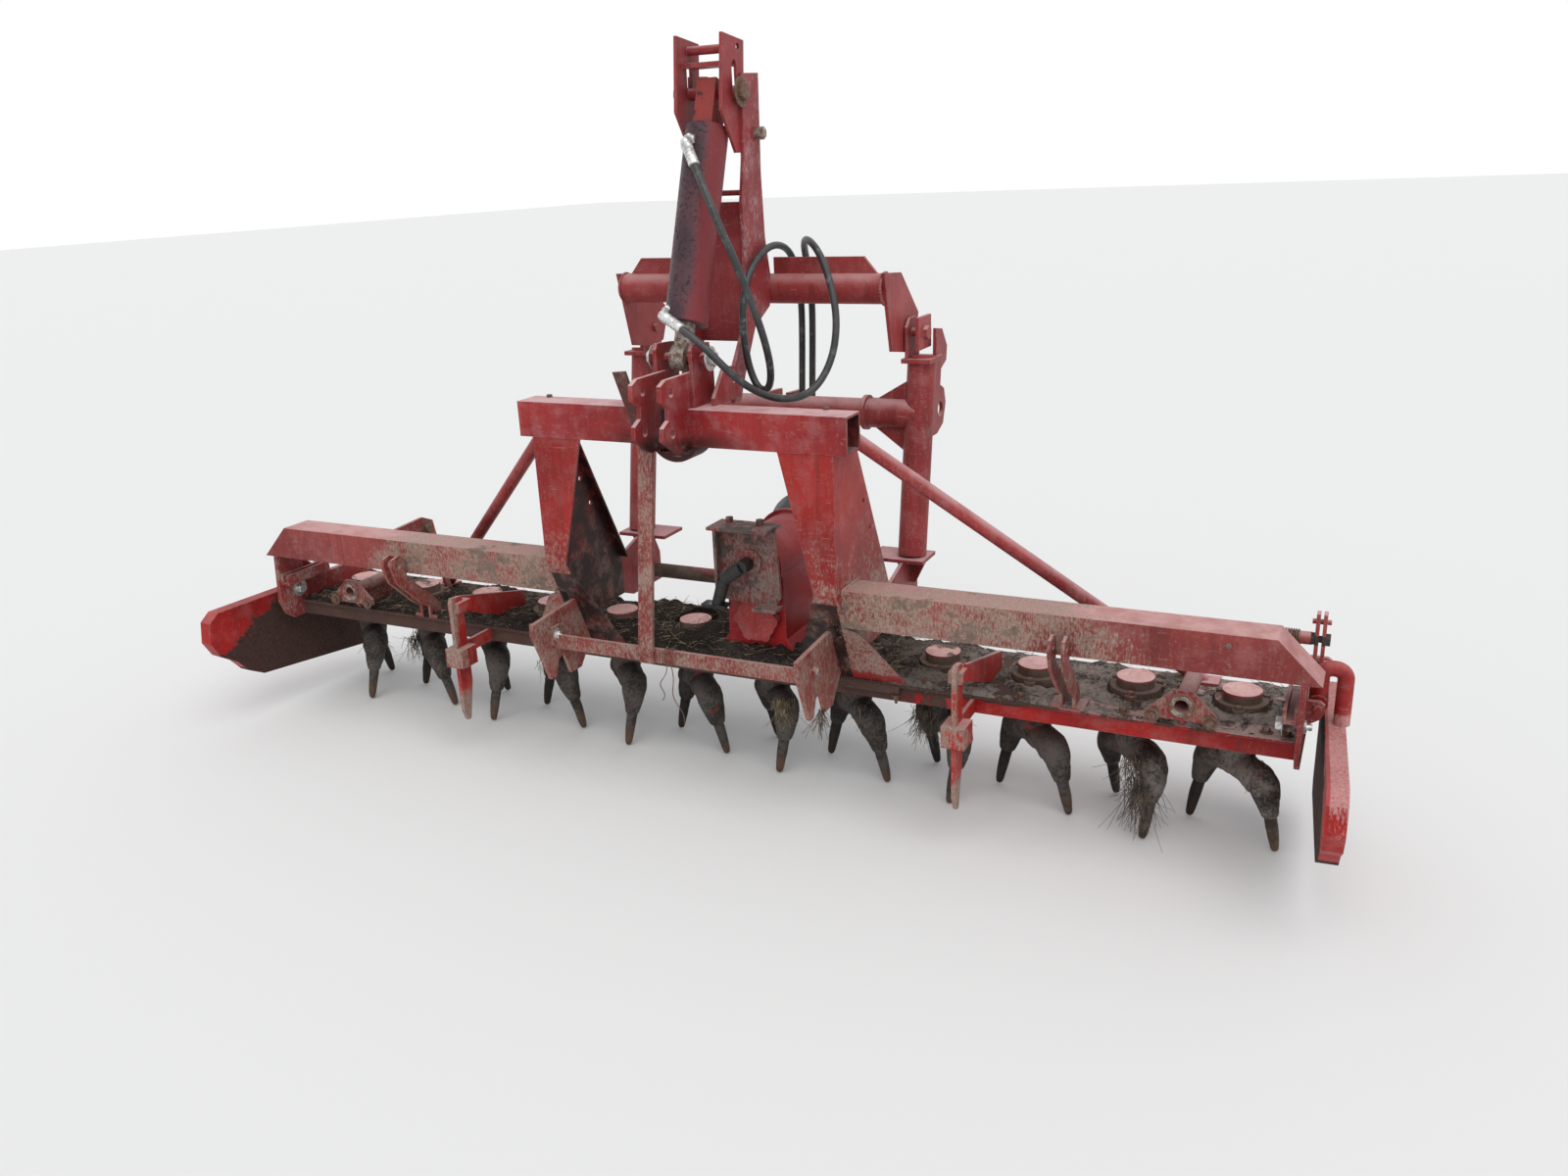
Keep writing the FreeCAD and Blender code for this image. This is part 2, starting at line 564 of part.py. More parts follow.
node("rear_tie_bar", tie_bar)

# Middle stay: a flat bar from the hitch plates down to the tie bar.
stay_rear = size("cross_rear") - size("stay_wall")
stay_foot = tie_rear - size("stay_wall")
stay = plate([(size("cross_rear"), 1010), (stay_rear, 1010), (stay_rear, 940), (stay_foot, 440),
              (stay_foot, 386), (tie_rear, 386), (tie_rear, 440), (size("cross_rear"), 940)],
             "X", -101, size("stay_width"))
node("middle_stay", stay)
slant = plate([(-152, 1143), (-116, 1146), (-57, 961), (-57, 946), (-85, 946)], "Y", stay_rear - 10, 10)
node("hitch_lever", slant)

# Roller lugs: pairs of bent plates on the trough's rear edge, closed to a narrow clevis at the top.
lug_face = [(-159, DECK), (-100, DECK), (-120, 390), (-236, 500), (-240, 560), (-262, 572), (-290, 566),
            (-296, 540), (-280, 490), (-190, 400), (-159, 380)]
lugs = []
lug_x = size("lug_place") * size("rotor_pitch")
for side in (-1, 1):
    for half in (-1, 1):
        near = lug_x * side + half * 12
        lug = plate(lug_face, "X", near if half > 0 else near - size("lug_wall"), size("lug_wall"))
        foot = box(near if half > 0 else near - 30, -158, DECK, 30, 56, 9)
        lugs.append(cut(fuse(lug, foot), rod(lug_x * side - 60, -266, 545, 10, 120, "X")))
node("roller_lugs", *lugs)

# Roller pivots: a triangular flange on the trough's rear edge with a tube that runs forward from it.
pivots = []
pivot_height = 404
for side in (-1, 1):
    x = size("socket_place") * size("rotor_pitch") * side
    flange = plate([(x - 79, 366), (x + 79, 366), (x + 79, 383), (x + 22, 440), (x - 22, 440), (x - 79, 383)],
                   "Y", -182, 9)
    barrel = rod(x, -190, pivot_height, 30, 24, "Y")
    tube = rod(x, -190, pivot_height, 21, 190, "Y")
    foot = box(x - 5, -155, DECK, 10, 145, 50)
    rib = plate([(-174, 366), (-155, DECK), (-100, DECK), (-100, 390), (-174, 390)], "X", x - 5, 10)
    pivots.append(cut(fuse(flange, barrel, tube, foot, rib),
                      rod(x, -191, pivot_height, size("socket_bore"), 150, "Y")))
node("roller_pivots", *pivots)

# Marker knives: flat blades hung behind the trough from arms on the deck.
knives = []
for side in (-1, 1):
    x = size("knife_place") * size("rotor_pitch") * side
    blade = plate([(-268, 474), (-306, 478), (-312, 462), (-312, 130), (-300, 96), (-288, 96), (-262, 210),
                   (-262, 462)], "X", x - size("knife_wall") / 2, size("knife_wall"))
    arm = plate([(-262, 470), (-262, 425), (-60, DECK), (40, DECK), (40, 392), (0, 402)],
                "X", x + (8 if side > 0 else -18), 10)
    clamp = box(x - 30, -322, 268, 60, 66, 56)
    hook = box(x - 5, -268, 296, 10, 268 - half_width, 38)
    knives.append(fuse(blade, arm, clamp, hook, box(x - 18, -300, 430, 36, 60, 30)))
node("marker_knives", *knives)

# Gearbox over the seventh rotor: a barrel along Y on a flared base, with the input shaft in front.
gx = rotor_places[gearbox_rotor - 1]
gz = size("gearbox_axis_z")
base = plate([(gx - 105, DECK), (gx + 105, DECK), (gx + 105, 372), (gx + 88, 400),
              (gx + size("gearbox_radius") - 4, gz), (gx - size("gearbox_radius") + 4, gz), (gx - 88, 400),
              (gx - 105, 372)], "Y", -95, 220)
barrel = rod(gx, -105, gz, size("gearbox_radius"), 239, "Y")
nose = rod(gx, 134, gz, size("nose_radius"), 51, "Y")
ring = rod(gx, 120, gz, size("gearbox_radius") + 12, 14, "Y")
input_bore = rod(gx, 100, gz, size("journal_radius") + size("shaft_play"), 120, "Y")
housing = cut(fuse(base, barrel, nose, ring), input_bore)
node("gearbox_housing", housing)
bracket_y = -130
rear_plate = plate([(gx - 79, 716), (gx + 81, 722), (gx + 93, 530), (gx + 75, 500), (gx - 85, 512),
                    (gx - 95, 540)], "Y", bracket_y, 8)
bracket_folds = [box(gx - 89, bracket_y - 28, 530, 8, 36, 188), box(gx - 95, bracket_y - 50, 716, 176, 90, 8),
                 box(gx + 25, bracket_y - 42, 500, 70, 46, 8)]
bracket_bolts = [rod(gx + shift, bracket_y + 10, 700, 10, 40) for shift in (-55, 35)]
boss = rod(gx + 10, bracket_y - 12, gz + 22, 33, 37, "Y")
node("gearbox_bracket", fuse(rear_plate, bracket_folds, bracket_bolts, boss))
cover_x = gx + 8
cover_z = gz - 150
lobes = [rod(cover_x + 50 * math.cos(math.radians(turn)), -121, cover_z + 50 * math.sin(math.radians(turn)),
             16, 26, "Y") for turn in range(0, 360, 60)]
node("change_gear_cover", fuse(rod(cover_x, -121, cover_z, 58, 26, "Y"), lobes))
elbow_y = -178
elbow_knee = (gx - 50, elbow_y, gz - 21)
elbow = fuse(rod(gx + 4, elbow_y - 8, gz + 17, 19, 44, "Y"), strut((gx + 4, elbow_y, gz + 17), elbow_knee, 18),
             strut(elbow_knee, (gx - 74, elbow_y, gz - 97), 17),
             box(gx - 115, elbow_y - 18, gz - 99, 72, 36, 8))
node("oil_elbow", elbow)
guard_outer = doc.addObject("Part::Cone", "Guard")
bind(guard_outer, "Radius1", size("guard_radius") - 30)
bind(guard_outer, "Radius2", size("guard_radius"))
guard_outer.Height = 110
place(guard_outer, gx, 134, gz, ALONG["Y"])
guard_inner = doc.addObject("Part::Cone", "Guard_hollow")
bind(guard_inner, "Radius1", size("guard_radius") - 30 - size("guard_wall"))
bind(guard_inner, "Radius2", size("guard_radius") - size("guard_wall"))
guard_inner.Height = 112
place(guard_inner, gx, 133, gz, ALONG["Y"])
guard_plate = cut(rod(gx, 134, gz, size("guard_radius") - 31, 5, "Y"),
                  rod(gx, 130, gz, size("nose_radius") + size("guard_play"), 20, "Y"))
node("pto_guard", fuse(cut(guard_outer, guard_inner), guard_plate))

# Input shaft: it turns in the gearbox and stands out inside its guard.
journal = rod(gx, 110, gz, size("journal_radius"), 73, "Y")
node("pto_shaft", fuse(journal, rod(gx, 183, gz, size("pto_radius"), 105, "Y")))

# Front posts: leaning tubes with a foot plate, gussets and a clevis for the lift frame.
px = size("post_x")
foot_point = (px, size("post_foot_y"), size("post_foot_z"))
head_point = (px, size("post_head_y"), size("post_head_z"))
lean_y = float(size("post_head_y")) - float(size("post_foot_y"))
slope = lean_y / (float(size("post_head_z")) - float(size("post_foot_z")))
tube_y = size("post_foot_y") + (size("front_tube_z") - size("post_foot_z")) * slope
post_tube = strut(foot_point, head_point, size("post_radius"), size("post_wall"))
foot_plate = box(px - 112, 200, 550, 162, 110, 10)
foot_rib = plate([(px - 52, 550), (px + 44, 550), (px + 10, 480), (px - 20, 480)], "Y", 252, 8)
side_rail = plate([(100, 520), (100, 400), (150, 380), (320, 380), (320, 470), (280, 550), (200, 550)],
                  "X", px - 18, 10)
clevis_inner = plate([(300, 1096), (395, 1096), (395, 1190), (372, 1212), (325, 1212), (300, 1190)],
                     "X", 414, 8)
clevis_outer = plate([(292, 1128), (392, 1128), (392, 1216), (292, 1216)], "X", 448, 10)
clevis_base = box(404, 296, 1092, 84, 104, 12)
pin = rod(392, size("pivot_y"), size("pivot_z"), size("pivot_pin_radius"), 78, "X")
pin_head = hexagon(458, size("pivot_y"), size("pivot_z"), 19, 13, "X")
link_y = tube_y + size("link_reach")
link_z = size("front_tube_z") + 2
hook_y = link_y + size("hook_reach")
hook = plate([(336, 885), (373, 1100), (376, 1179), (hook_y - 42, 1172), (hook_y, 1120), (hook_y - 7, 1080),
              (hook_y - 52, 1062), (hook_y - 59, 1018), (hook_y - 27, 1004), (hook_y - 12, 962),
              (hook_y - 35, 905), (380, 885)], "X", px + 22, size("hook_wall"))
hook = cut(hook, rod(px, link_y, link_z, size("top_link_hole") + 8, 60, "X"))
clevis = [clevis_inner, clevis_outer, clevis_base, pin, pin_head]
post = fuse(post_tube, foot_plate, foot_rib, side_rail, clevis, hook)
node("front_post_right", post)
node("front_post_left", mirrored(post))

# Front cross tube between the posts, with sleeves and collars, and the top link's ears in its middle.
post_solid = strut(foot_point, head_point, size("post_radius"))
span = rod(-px, tube_y, size("front_tube_z"), size("front_tube_radius"), px * 2, "X")
sleeve_inner = 310
sleeves = [rod(start, tube_y, size("front_tube_z"), size("sleeve_radius"), px - sleeve_inner, "X")
           for start in (-px, sleeve_inner)]
collars = [rod(side * 291 - 6, tube_y, size("front_tube_z"), size("collar_radius"), 12, "X")
           for side in (-1, 1)]
ear = plate([(tube_y + 20, link_z - 45), (link_y + 10, link_z - 45), (link_y + 30, link_z - 20),
             (link_y + 30, link_z + 35), (tube_y + 20, link_z + 40)], "X", 28, 12)
ear = cut(ear, rod(0, link_y, link_z, size("top_link_hole"), 80, "X"))
gusset_up = plate([(px - 10, link_z + 30), (px - 138, link_z + 30), (px - 10, link_z + 105)], "Y", tube_y - 4, 8)
gusset_low = plate([(px - 10, link_z - 34), (px - 138, link_z - 34), (px - 10, link_z - 128)],
                   "Y", tube_y - 10, 8)
tube = cut(fuse(span, sleeves, collars, ear, mirrored(ear)), post_solid, mirrored(post_solid))
node("front_cross_tube", tube)
round_bars = [post_solid, rod(sleeve_inner - 10, tube_y, size("front_tube_z"), size("sleeve_radius"),
                              px - sleeve_inner, "X")]
gusset_right = [cut(gusset_up, round_bars), cut(gusset_low, round_bars)]
node("post_gussets", *(gusset_right + [mirrored(piece) for piece in gusset_right]))

# Lower hitch bar: a round bar between the side rails, with the tractor's lower link pins at its ends.
rail_inner = px - 18
bar = rod(-rail_inner, size("hitch_bar_y"), size("hitch_bar_z"), size("hitch_bar_radius"), rail_inner * 2,
          "X")
pin_length = size("link_pin_length")
pins = [rod(start, size("hitch_bar_y"), size("hitch_bar_z"), size("link_pin_radius"), pin_length, "X")
        for start in (px - 8, 8 - px - pin_length)]
node("lower_hitch_bar", bar)
node("lower_link_pins", *pins)

# Side braces: round tubes from the portal down to the trough's front edge.
braces = []
for side, place_out in ((1, size("brace_place_right")), (-1, size("brace_place_left"))):
    foot_x = place_out * size("rotor_pitch") * side
    bar = strut((372 * side, -198, 1046), (foot_x, 130, DECK), size("brace_radius"))
    above = box(-half_trough, cross_front, DECK, half_trough * 2, 400, 800)
    held = doc.addObject("Part::Common", "Brace")
    held.Base = bar
    held.Tool = above
    braces.append(fuse(held, box(foot_x - 40, 100, DECK, 80, 55, 8)))
node("side_braces", *braces)

# Left front lug: a holed plate from the left beam forward and down to the deck.
front_lug_x = size("rotor_pitch") * -4.42
front_ear = cut(plate([(beam_front, 545), (beam_front, 606), (-4, 612), (39, 593), (50, 540), (74, 420),
                       (90, DECK), (70, DECK), (52, 420), (10, 500), (-60, 520)], "X", front_lug_x, 10),
                rod(front_lug_x - 15, 8, 575, 11, 40, "X"))
node("front_lug_left", front_ear)

# Lift frame: a cross tube with end plates on the pivots, and the mast's side plates and web.
ay = size("arch_tube_y")
az = size("arch_tube_z")
arch_half = size("arch_half")
arch = rod(-arch_half, ay, az, size("arch_tube_radius"), arch_half * 2, "X")
mast_outer = size("mast_inner") + size("mast_wall")
end_face = [(165, 1345), (290, 1336), (424, 1216), (385, 1130), (330, 1118), (219, 1135)]
end_plate = cut(plate(end_face, "X", arch_half, size("arch_wall")),
                rod(arch_half - 10, size("pivot_y"), size("pivot_z"),
                    size("pivot_pin_radius") + size("shaft_play"), 40, "X"))
ridge = plate([(mast_outer, az + 30), (arch_half - 5, az + 30), (arch_half - 24, az + 41),
               (arch_half - 59, az + 83), (mast_outer, az + 83)], "Y", ay - 5, 10)
node("lift_cross_tube", fuse(arch, ridge, mirrored(ridge)))
node("lift_end_plates", end_plate, mirrored(end_plate))
side_face = [(60, 1842), (150, 1846), (142, 1600), (150, 1440), (172, 1345), (162, 1260), (70, 1215), (0, 1100),
             (-34, 1034), (-70, 1036), (-84, 1060), (-60, 1130), (20, 1240), (32, 1440), (28, 1530), (50, 1640)]
side_plate = cut(plate(side_face, "X", size("mast_inner"), size("mast_wall")),
                 rod(0, ay, az, size("arch_tube_radius"), 200, "X"))
web = plate([(48, 1535), (56, 1535), (50, 1180), (42, 1180)], "X", -size("mast_inner"), size("mast_inner") * 2)
node("mast_side_plates", side_plate, mirrored(side_plate))
crossbar = rod(-size("mast_inner"), 62, 1557, 7, size("mast_inner") * 2, "X")
node("mast_web", web, crossbar)
ear_wall = size("mast_ear_wall")
ear_face = [(-17, 1933), (96, 1920), (75, 1700), (52, 1654), (30, 1654), (-38, 1755)]
ear_blank = plate(ear_face, "X", size("mast_inner") - ear_wall, ear_wall)
ear_slot = [box(0, 25, size("head_pin_z"), 100, 26, 62), rod(0, size("head_pin_y"), 1860, 13, 100, "X"),
            rod(0, 62, 1903, 9, 100, "X")]
ear_right = cut(ear_blank, ear_slot)
head_pin = rod(-mast_outer - 6, size("head_pin_y"), size("head_pin_z"), size("head_pin_radius"),
               mast_outer * 2 + 12, "X")
cross_pin = rod(-size("mast_inner"), 40, 1900, 11, size("mast_inner") * 2, "X")
flat_bar = box(-size("mast_inner") + ear_wall, 5, 1858, (size("mast_inner") - ear_wall) * 2, 60, 12)
side_bolt = hexagon(mast_outer, 122, 1700, 16, 24, "X")
node("mast_head", fuse(ear_right, mirrored(ear_right), head_pin, cross_pin, flat_bar))
node("mast_bolts", side_bolt, mirrored(side_bolt))

# Hoses: from the cylinder's two ports round the mast's right side plate, over the ridge and down in front,
# where each ends in a coupler.
UPPER_HOSE = [(14, -108, 1646), (58, -133, 1572), (104, -150, 1484), (148, -155, 1396), (178, -144, 1304),
              (196, -118, 1214), (196, -84, 1128), (172, -52, 1072), (132, -32, 1066), (104, -24, 1112),
              (96, -36, 1192), (94, -34, 1276), (95, 8, 1358), (98, 78, 1404), (104, 156, 1424),
              (106, 240, 1402), (102, 300, 1330), (92, 336, 1240), (80, 358, 1150), (70, 372, 1060),
              (63, 380, 975), (60, 382, 900)]
LOWER_HOSE = [(10, -232, 1257), (82, -244, 1218), (144, -236, 1154), (196, -196, 1094), (242, -116, 1056),
              (284, -30, 1062), (316, 26, 1134), (320, 60, 1230), (296, 82, 1324), (252, 112, 1404),
              (190, 168, 1438), (146, 244, 1412), (134, 304, 1336), (124, 338, 1246), (112, 360, 1156),
              (102, 374, 1066), (95, 382, 980), (92, 384, 905)]
node("hose_upper", pipe("upper hose", UPPER_HOSE, size("hose_radius")))
node("hose_lower", pipe("lower hose", LOWER_HOSE, size("hose_radius")))
couplers = []
for route in (UPPER_HOSE, LOWER_HOSE):
    x, y, z = route[-1]
    before = route[-2]
    fall = [(a - b) / math.dist(route[-1], before) for a, b in zip(route[-1], before)]
    low_end = tuple(a + step * 50 for a, step in zip(route[-1], fall))
    couplers.append(strut(route[-1], low_end, size("coupler_radius")))
node("hose_couplers", *couplers)

# Lift cylinder: the barrel hangs from the mast's head pin and the rod stands on the crossbeam's foot.
fy = float(size("foot_y"))
fz = float(size("foot_z"))
hy = float(size("head_pin_y"))
hz = float(size("head_pin_z"))
reach = math.hypot(hy - fy, hz - fz)
way = (0, (hy - fy) / reach, (hz - fz) / reach)


def along_cylinder(distance):
    """The point on the cylinder's line at a distance from its lower pin."""
    return (0, fy + way[1] * float(distance), fz + way[2] * float(distance))


def port(root, route):
    """An elbow on the barrel with the crimped ferrule of the hose that starts there."""
    first = FreeCAD.Vector(*route[0])
    heading = (FreeCAD.Vector(*route[1]) - first).normalize()
    bend = first - heading * float(size("ferrule_length"))
    ferrule = strut(tuple(bend), route[0], size("hose_radius") + size("ferrule_wall"))
    return fuse(strut(root, tuple(bend), size("port_radius")), ferrule)


b0 = size("barrel_start")
b1 = size("barrel_end")
barrel_tube = strut(along_cylinder(b0), along_cylinder(b1), size("barrel_radius"))
gland = strut(along_cylinder(b0), along_cylinder(b0 + 30), size("barrel_radius") + 2)
block_depth = float(size("block_depth"))
block_corners = []
block_top = reach + size("block_reach")
for distance, side in ((b1 - 5, -1), (block_top, -1), (block_top, 1), (b1 - 5, 1)):
    middle = along_cylinder(distance)
    block_corners.append((middle[1] - way[2] * block_depth * side, middle[2] + way[1] * block_depth * side))
head_block = plate(block_corners, "X", -size("block_half"), size("block_half") * 2)
head_bore = rod(-60, hy, hz, size("head_pin_radius") + size("shaft_play"), 120, "X")
rod_bore = strut(along_cylinder(b0 - 5), along_cylinder(b1 - 40), size("rod_radius") + size("rod_play"))
port_low = port((-30, -170, 1292), LOWER_HOSE)
port_high = port((-16, -40, 1694), UPPER_HOSE)
node("cylinder_barrel", cut(fuse(barrel_tube, gland, head_block, port_low, port_high), head_bore, rod_bore))
eye = rod(-20, fy, fz, size("eye_radius"), 40, "X")
eye_bore = rod(-40, fy, fz, size("foot_pin_radius") + size("eye_play"), 80, "X")
shaft = strut(along_cylinder(0), along_cylinder(b1 - 60), size("rod_radius"))
node("cylinder_rod", cut(fuse(eye, shaft), eye_bore))

# Side shields: rimmed sheets that hang from bent tube arms on the end plates' pivot rods.
sx = plate_face + size("shield_gap")
arm_r = size("arm_radius")
arm_y = -97
drop_x = sx + 17 + arm_r
sheet_face = [(150, 375), (-425, 375), (-458, 350), (-467.9, 285), (-441, 236), (-385, 198), (-350, 156),
              (-300, 128), (120, 84), (150, 110)]
skin = plate(sheet_face, "X", sx, size("shield_wall"))
rim_face = [(150, 375), (-425, 375), (-458, 350), (-467.9, 285), (-441, 236), (-385, 198), (-350, 156),
            (-344, 162), (-380, 203), (-436, 240), (-461, 286), (-452, 347), (-422, 369), (150, 369)]
rim = plate(rim_face, "X", sx, size("shield_rim"))
panel = fuse(skin, rim)
panel.Placement = FreeCAD.Placement(
    FreeCAD.Vector(), FreeCAD.Rotation(FreeCAD.Vector(0, 0, 1), float(size("shield_toe"))),
    FreeCAD.Vector(float(sx), arm_y, 0))
node("side_shield_right", panel)
node("side_shield_left", mirrored(NODES[-1]))
arm_route = [(float(pivot_x), arm_y, float(pz)), (float(pivot_x), arm_y, 506), (float(drop_x), arm_y, 506),
             (float(drop_x), arm_y, 375)]
arm_tube = pipe("shield arm", arm_route, arm_r)
knuckle = rod(pivot_x, arm_y - arm_r - 4, pz, size("shield_pin_radius") + 11, arm_r * 2 + 8, "Y")
pin_hole = rod(pivot_x, arm_y - 60, pz, size("shield_pin_radius") + size("shaft_play"), 120, "Y")
arm_right = cut(fuse(arm_tube, knuckle), pin_hole)
node("shield_arm_right", arm_right)
node("shield_arm_left", mirrored(arm_right))

# Rotors: a cast hub with two curved horns, each ending in a socket with a tapered tine.
splay = math.radians(float(size("tine_splay")))
tip_z = float(size("tine_tip_radius")) * math.sin(splay)
root_r = float(size("tip_radius")) - float(size("tine_free_length")) * math.sin(splay)
root_z = tip_z + float(size("tine_free_length")) * math.cos(splay)


def ring_section(radius, height, tilt, thick):
    """A round section of the horn at a radius and height, facing along a tilted direction."""
    heading = FreeCAD.Vector(math.cos(math.radians(tilt)), 0, math.sin(math.radians(tilt)))
    return Part.Wire(Part.Circle(FreeCAD.Vector(radius, 0, height), heading, thick).toShape())


floor = float(size("trough_bottom") + RAISED)
shoulder = float(size("shoulder_radius"))
elbow_r = float(size("elbow_radius"))
arm_z = float(size("arm_height"))
socket = float(size("socket_radius"))
horn = Part.makeLoft([
    ring_section(4, arm_z, 0, shoulder),
    ring_section(48, arm_z, -4, shoulder),
    ring_section(root_r - 16, arm_z - 12, -45, elbow_r),
    ring_section(root_r - 3, arm_z - 46, -76, elbow_r - 7),
    ring_section(root_r, root_z + 8, -83, socket),
    ring_section(root_r + 1, root_z - 8, -84, socket - 4)], True, False)
down = FreeCAD.Vector(math.sin(splay), 0, -math.cos(splay))
tine_length = float(size("tine_free_length")) + 20
tine = Part.makeCone(float(size("tine_root_radius")), float(size("tine_tip_radius")), tine_length,
                     FreeCAD.Vector(root_r, 0, root_z) - down * 20, down)
half_rotor = horn.fuse(tine)
other_half = half_rotor.copy()
other_half.rotate(FreeCAD.Vector(0, 0, 0), FreeCAD.Vector(0, 0, 1), 180)
hub_top = floor - 8
hub = Part.makeCone(shoulder + 4, float(size("hub_radius")), hub_top - arm_z, FreeCAD.Vector(0, 0, arm_z))
stub = Part.makeCylinder(float(size("shaft_radius")), float(size("shaft_rise")) + 20,
                         FreeCAD.Vector(0, 0, floor - 20))
rotor_shape = hub.multiFuse([half_rotor, other_half, stub]).removeSplitter()
for index, x in enumerate(rotor_places, start=1):
    phase = float(size("even_phase"))
    turn = phase if index % 2 == 0 else -90 - phase
    rotor = shaped(rotor_shape.copy())
    rotor.Placement = FreeCAD.Placement(FreeCAD.Vector(float(x), 0, 0),
                                        FreeCAD.Rotation(FreeCAD.Vector(0, 0, 1), turn))
    node("rotor_%02d" % index, rotor)

doc.recompute()

faults = [o.Label for o in doc.Objects if "Invalid" in o.State or "Error" in o.State]
faults += [o.Label for o in NODES if o.Shape.isNull() or not o.Shape.isValid()]
if faults:
    raise SystemExit("faulty: " + ", ".join(faults))
os.makedirs("parts", exist_ok=True)
total = 0.0
for item in NODES:
    item.Shape.exportStep("parts/%s.step" % item.Label)
    total += item.Shape.Volume
    print(item.Label, len(item.Shape.Solids), [round(c) for c in (
        item.Shape.BoundBox.XMin, item.Shape.BoundBox.YMin, item.Shape.BoundBox.ZMin,
        item.Shape.BoundBox.XMax, item.Shape.BoundBox.YMax, item.Shape.BoundBox.ZMax)])
print(len(NODES), "nodes, steel mass %.0f kg" % (total * 7.85e-6))
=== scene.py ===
import math
import bpy
import numpy as np
from mathutils import Matrix, Vector


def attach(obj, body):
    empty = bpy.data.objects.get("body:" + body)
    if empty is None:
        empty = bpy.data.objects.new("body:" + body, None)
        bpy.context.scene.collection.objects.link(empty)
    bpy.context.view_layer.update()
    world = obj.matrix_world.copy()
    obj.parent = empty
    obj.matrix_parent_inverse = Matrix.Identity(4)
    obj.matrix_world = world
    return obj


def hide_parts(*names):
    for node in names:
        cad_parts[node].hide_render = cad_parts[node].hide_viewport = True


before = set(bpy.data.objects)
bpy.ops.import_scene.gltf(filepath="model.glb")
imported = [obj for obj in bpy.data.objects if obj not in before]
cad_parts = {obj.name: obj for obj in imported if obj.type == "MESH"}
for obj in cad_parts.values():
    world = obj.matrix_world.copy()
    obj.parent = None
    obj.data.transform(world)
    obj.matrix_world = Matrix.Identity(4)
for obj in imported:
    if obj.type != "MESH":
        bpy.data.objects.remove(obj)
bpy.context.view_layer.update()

# Floor, sky and lamp. The machine stands out of doors under an even grey sky, so one broad soft lamp only
# helps a bright surround. The floor is plain and pale and keeps the shadow.
scene = bpy.context.scene
scene.view_settings.view_transform = "Standard"


def linked(tree, socket, value):
    """Links a socket to another or gives it a value; a colour of three numbers is made opaque."""
    if isinstance(value, bpy.types.NodeSocket):
        tree.links.new(value, socket)
    elif socket.type == "RGBA" and len(value) == 3:
        socket.default_value = (*value, 1)
    else:
        socket.default_value = value


def shader(tree, kind, **parts):
    """Adds a node to a tree: a name with a capital is a socket, linked or given a value, and others are
    settings."""
    made = tree.nodes.new("ShaderNode" + kind)
    for name, value in parts.items():
        if name[0].isupper():
            linked(tree, made.inputs[name.replace("_", " ")], value)
        else:
            setattr(made, name, value)
    return made


world = bpy.data.worlds.new("grey_sky")
scene.world = world
world.use_nodes = True
sky = world.node_tree
sky.nodes.clear()
rays = shader(sky, "LightPath")
seen = shader(sky, "Math", operation="MAXIMUM")
sky.links.new(rays.outputs["Is Camera Ray"], seen.inputs[0])
sky.links.new(rays.outputs["Is Glossy Ray"], seen.inputs[1])
seen_too = shader(sky, "Math", operation="MAXIMUM")
sky.links.new(seen.outputs[0], seen_too.inputs[0])
sky.links.new(rays.outputs["Is Transmission Ray"], seen_too.inputs[1])
soft = shader(sky, "Background", Color=(0.93, 0.96, 1.0, 1.0), Strength=0.72)
white = shader(sky, "Background", Color=(1.0, 1.0, 1.0, 1.0), Strength=1.0)
either = shader(sky, "MixShader", Fac=seen_too.outputs[0])
sky.links.new(soft.outputs[0], either.inputs[1])
sky.links.new(white.outputs[0], either.inputs[2])
sky_out = sky.nodes.new("ShaderNodeOutputWorld")
sky.links.new(either.outputs[0], sky_out.inputs["Surface"])

lamp = bpy.data.lights.new("broad_lamp", "SUN")
lamp.energy = 1.35
lamp.angle = math.radians(60)
lamp_holder = bpy.data.objects.new("broad_lamp", lamp)
scene.collection.objects.link(lamp_holder)
lamp_holder.rotation_euler = Vector((0.45, -0.55, 1.25)).to_track_quat("Z", "Y").to_euler()

floor_mesh = bpy.data.meshes.new("floor")
floor_mesh.from_pydata([(-40, -40, -0.002), (40, -40, -0.002), (40, 60, -0.002), (-40, 60, -0.002)], [],
    [(0, 1, 2, 3)])
floor = bpy.data.objects.new("floor", floor_mesh)
scene.collection.objects.link(floor)
floor_finish = bpy.data.materials.new("pale_floor")
floor_finish.use_nodes = True
floor_finish.node_tree.nodes["Principled BSDF"].inputs["Base Color"].default_value = (0.80, 0.79, 0.77, 1)
floor_finish.node_tree.nodes["Principled BSDF"].inputs["Roughness"].default_value = 0.9
floor_mesh.materials.append(floor_finish)

# Camera: a wide view from behind and to the right of the machine, at head height, tilted down and a little
# rolled. Its angles and its lens are worked out from the photograph's own lines.
YAW, PITCH, ROLL = 0.457728, 0.325079, -0.0424679
FOCAL_LENGTH_PIXELS, PICTURE_WIDTH_PIXELS = 1279.75, 1600
EYE = (1.61694, -2.94976, 1.62011)
ahead = Vector((-math.sin(YAW) * math.cos(PITCH), math.cos(YAW) * math.cos(PITCH), -math.sin(PITCH)))
level = Vector((math.cos(YAW), math.sin(YAW), 0))
upright = level.cross(ahead)
across = level * math.cos(ROLL) + upright * math.sin(ROLL)
over = upright * math.cos(ROLL) - level * math.sin(ROLL)
lens = bpy.data.cameras.new("camera")
lens.sensor_width = 36
lens.lens = FOCAL_LENGTH_PIXELS / PICTURE_WIDTH_PIXELS * lens.sensor_width
camera = bpy.data.objects.new("camera", lens)
scene.collection.objects.link(camera)
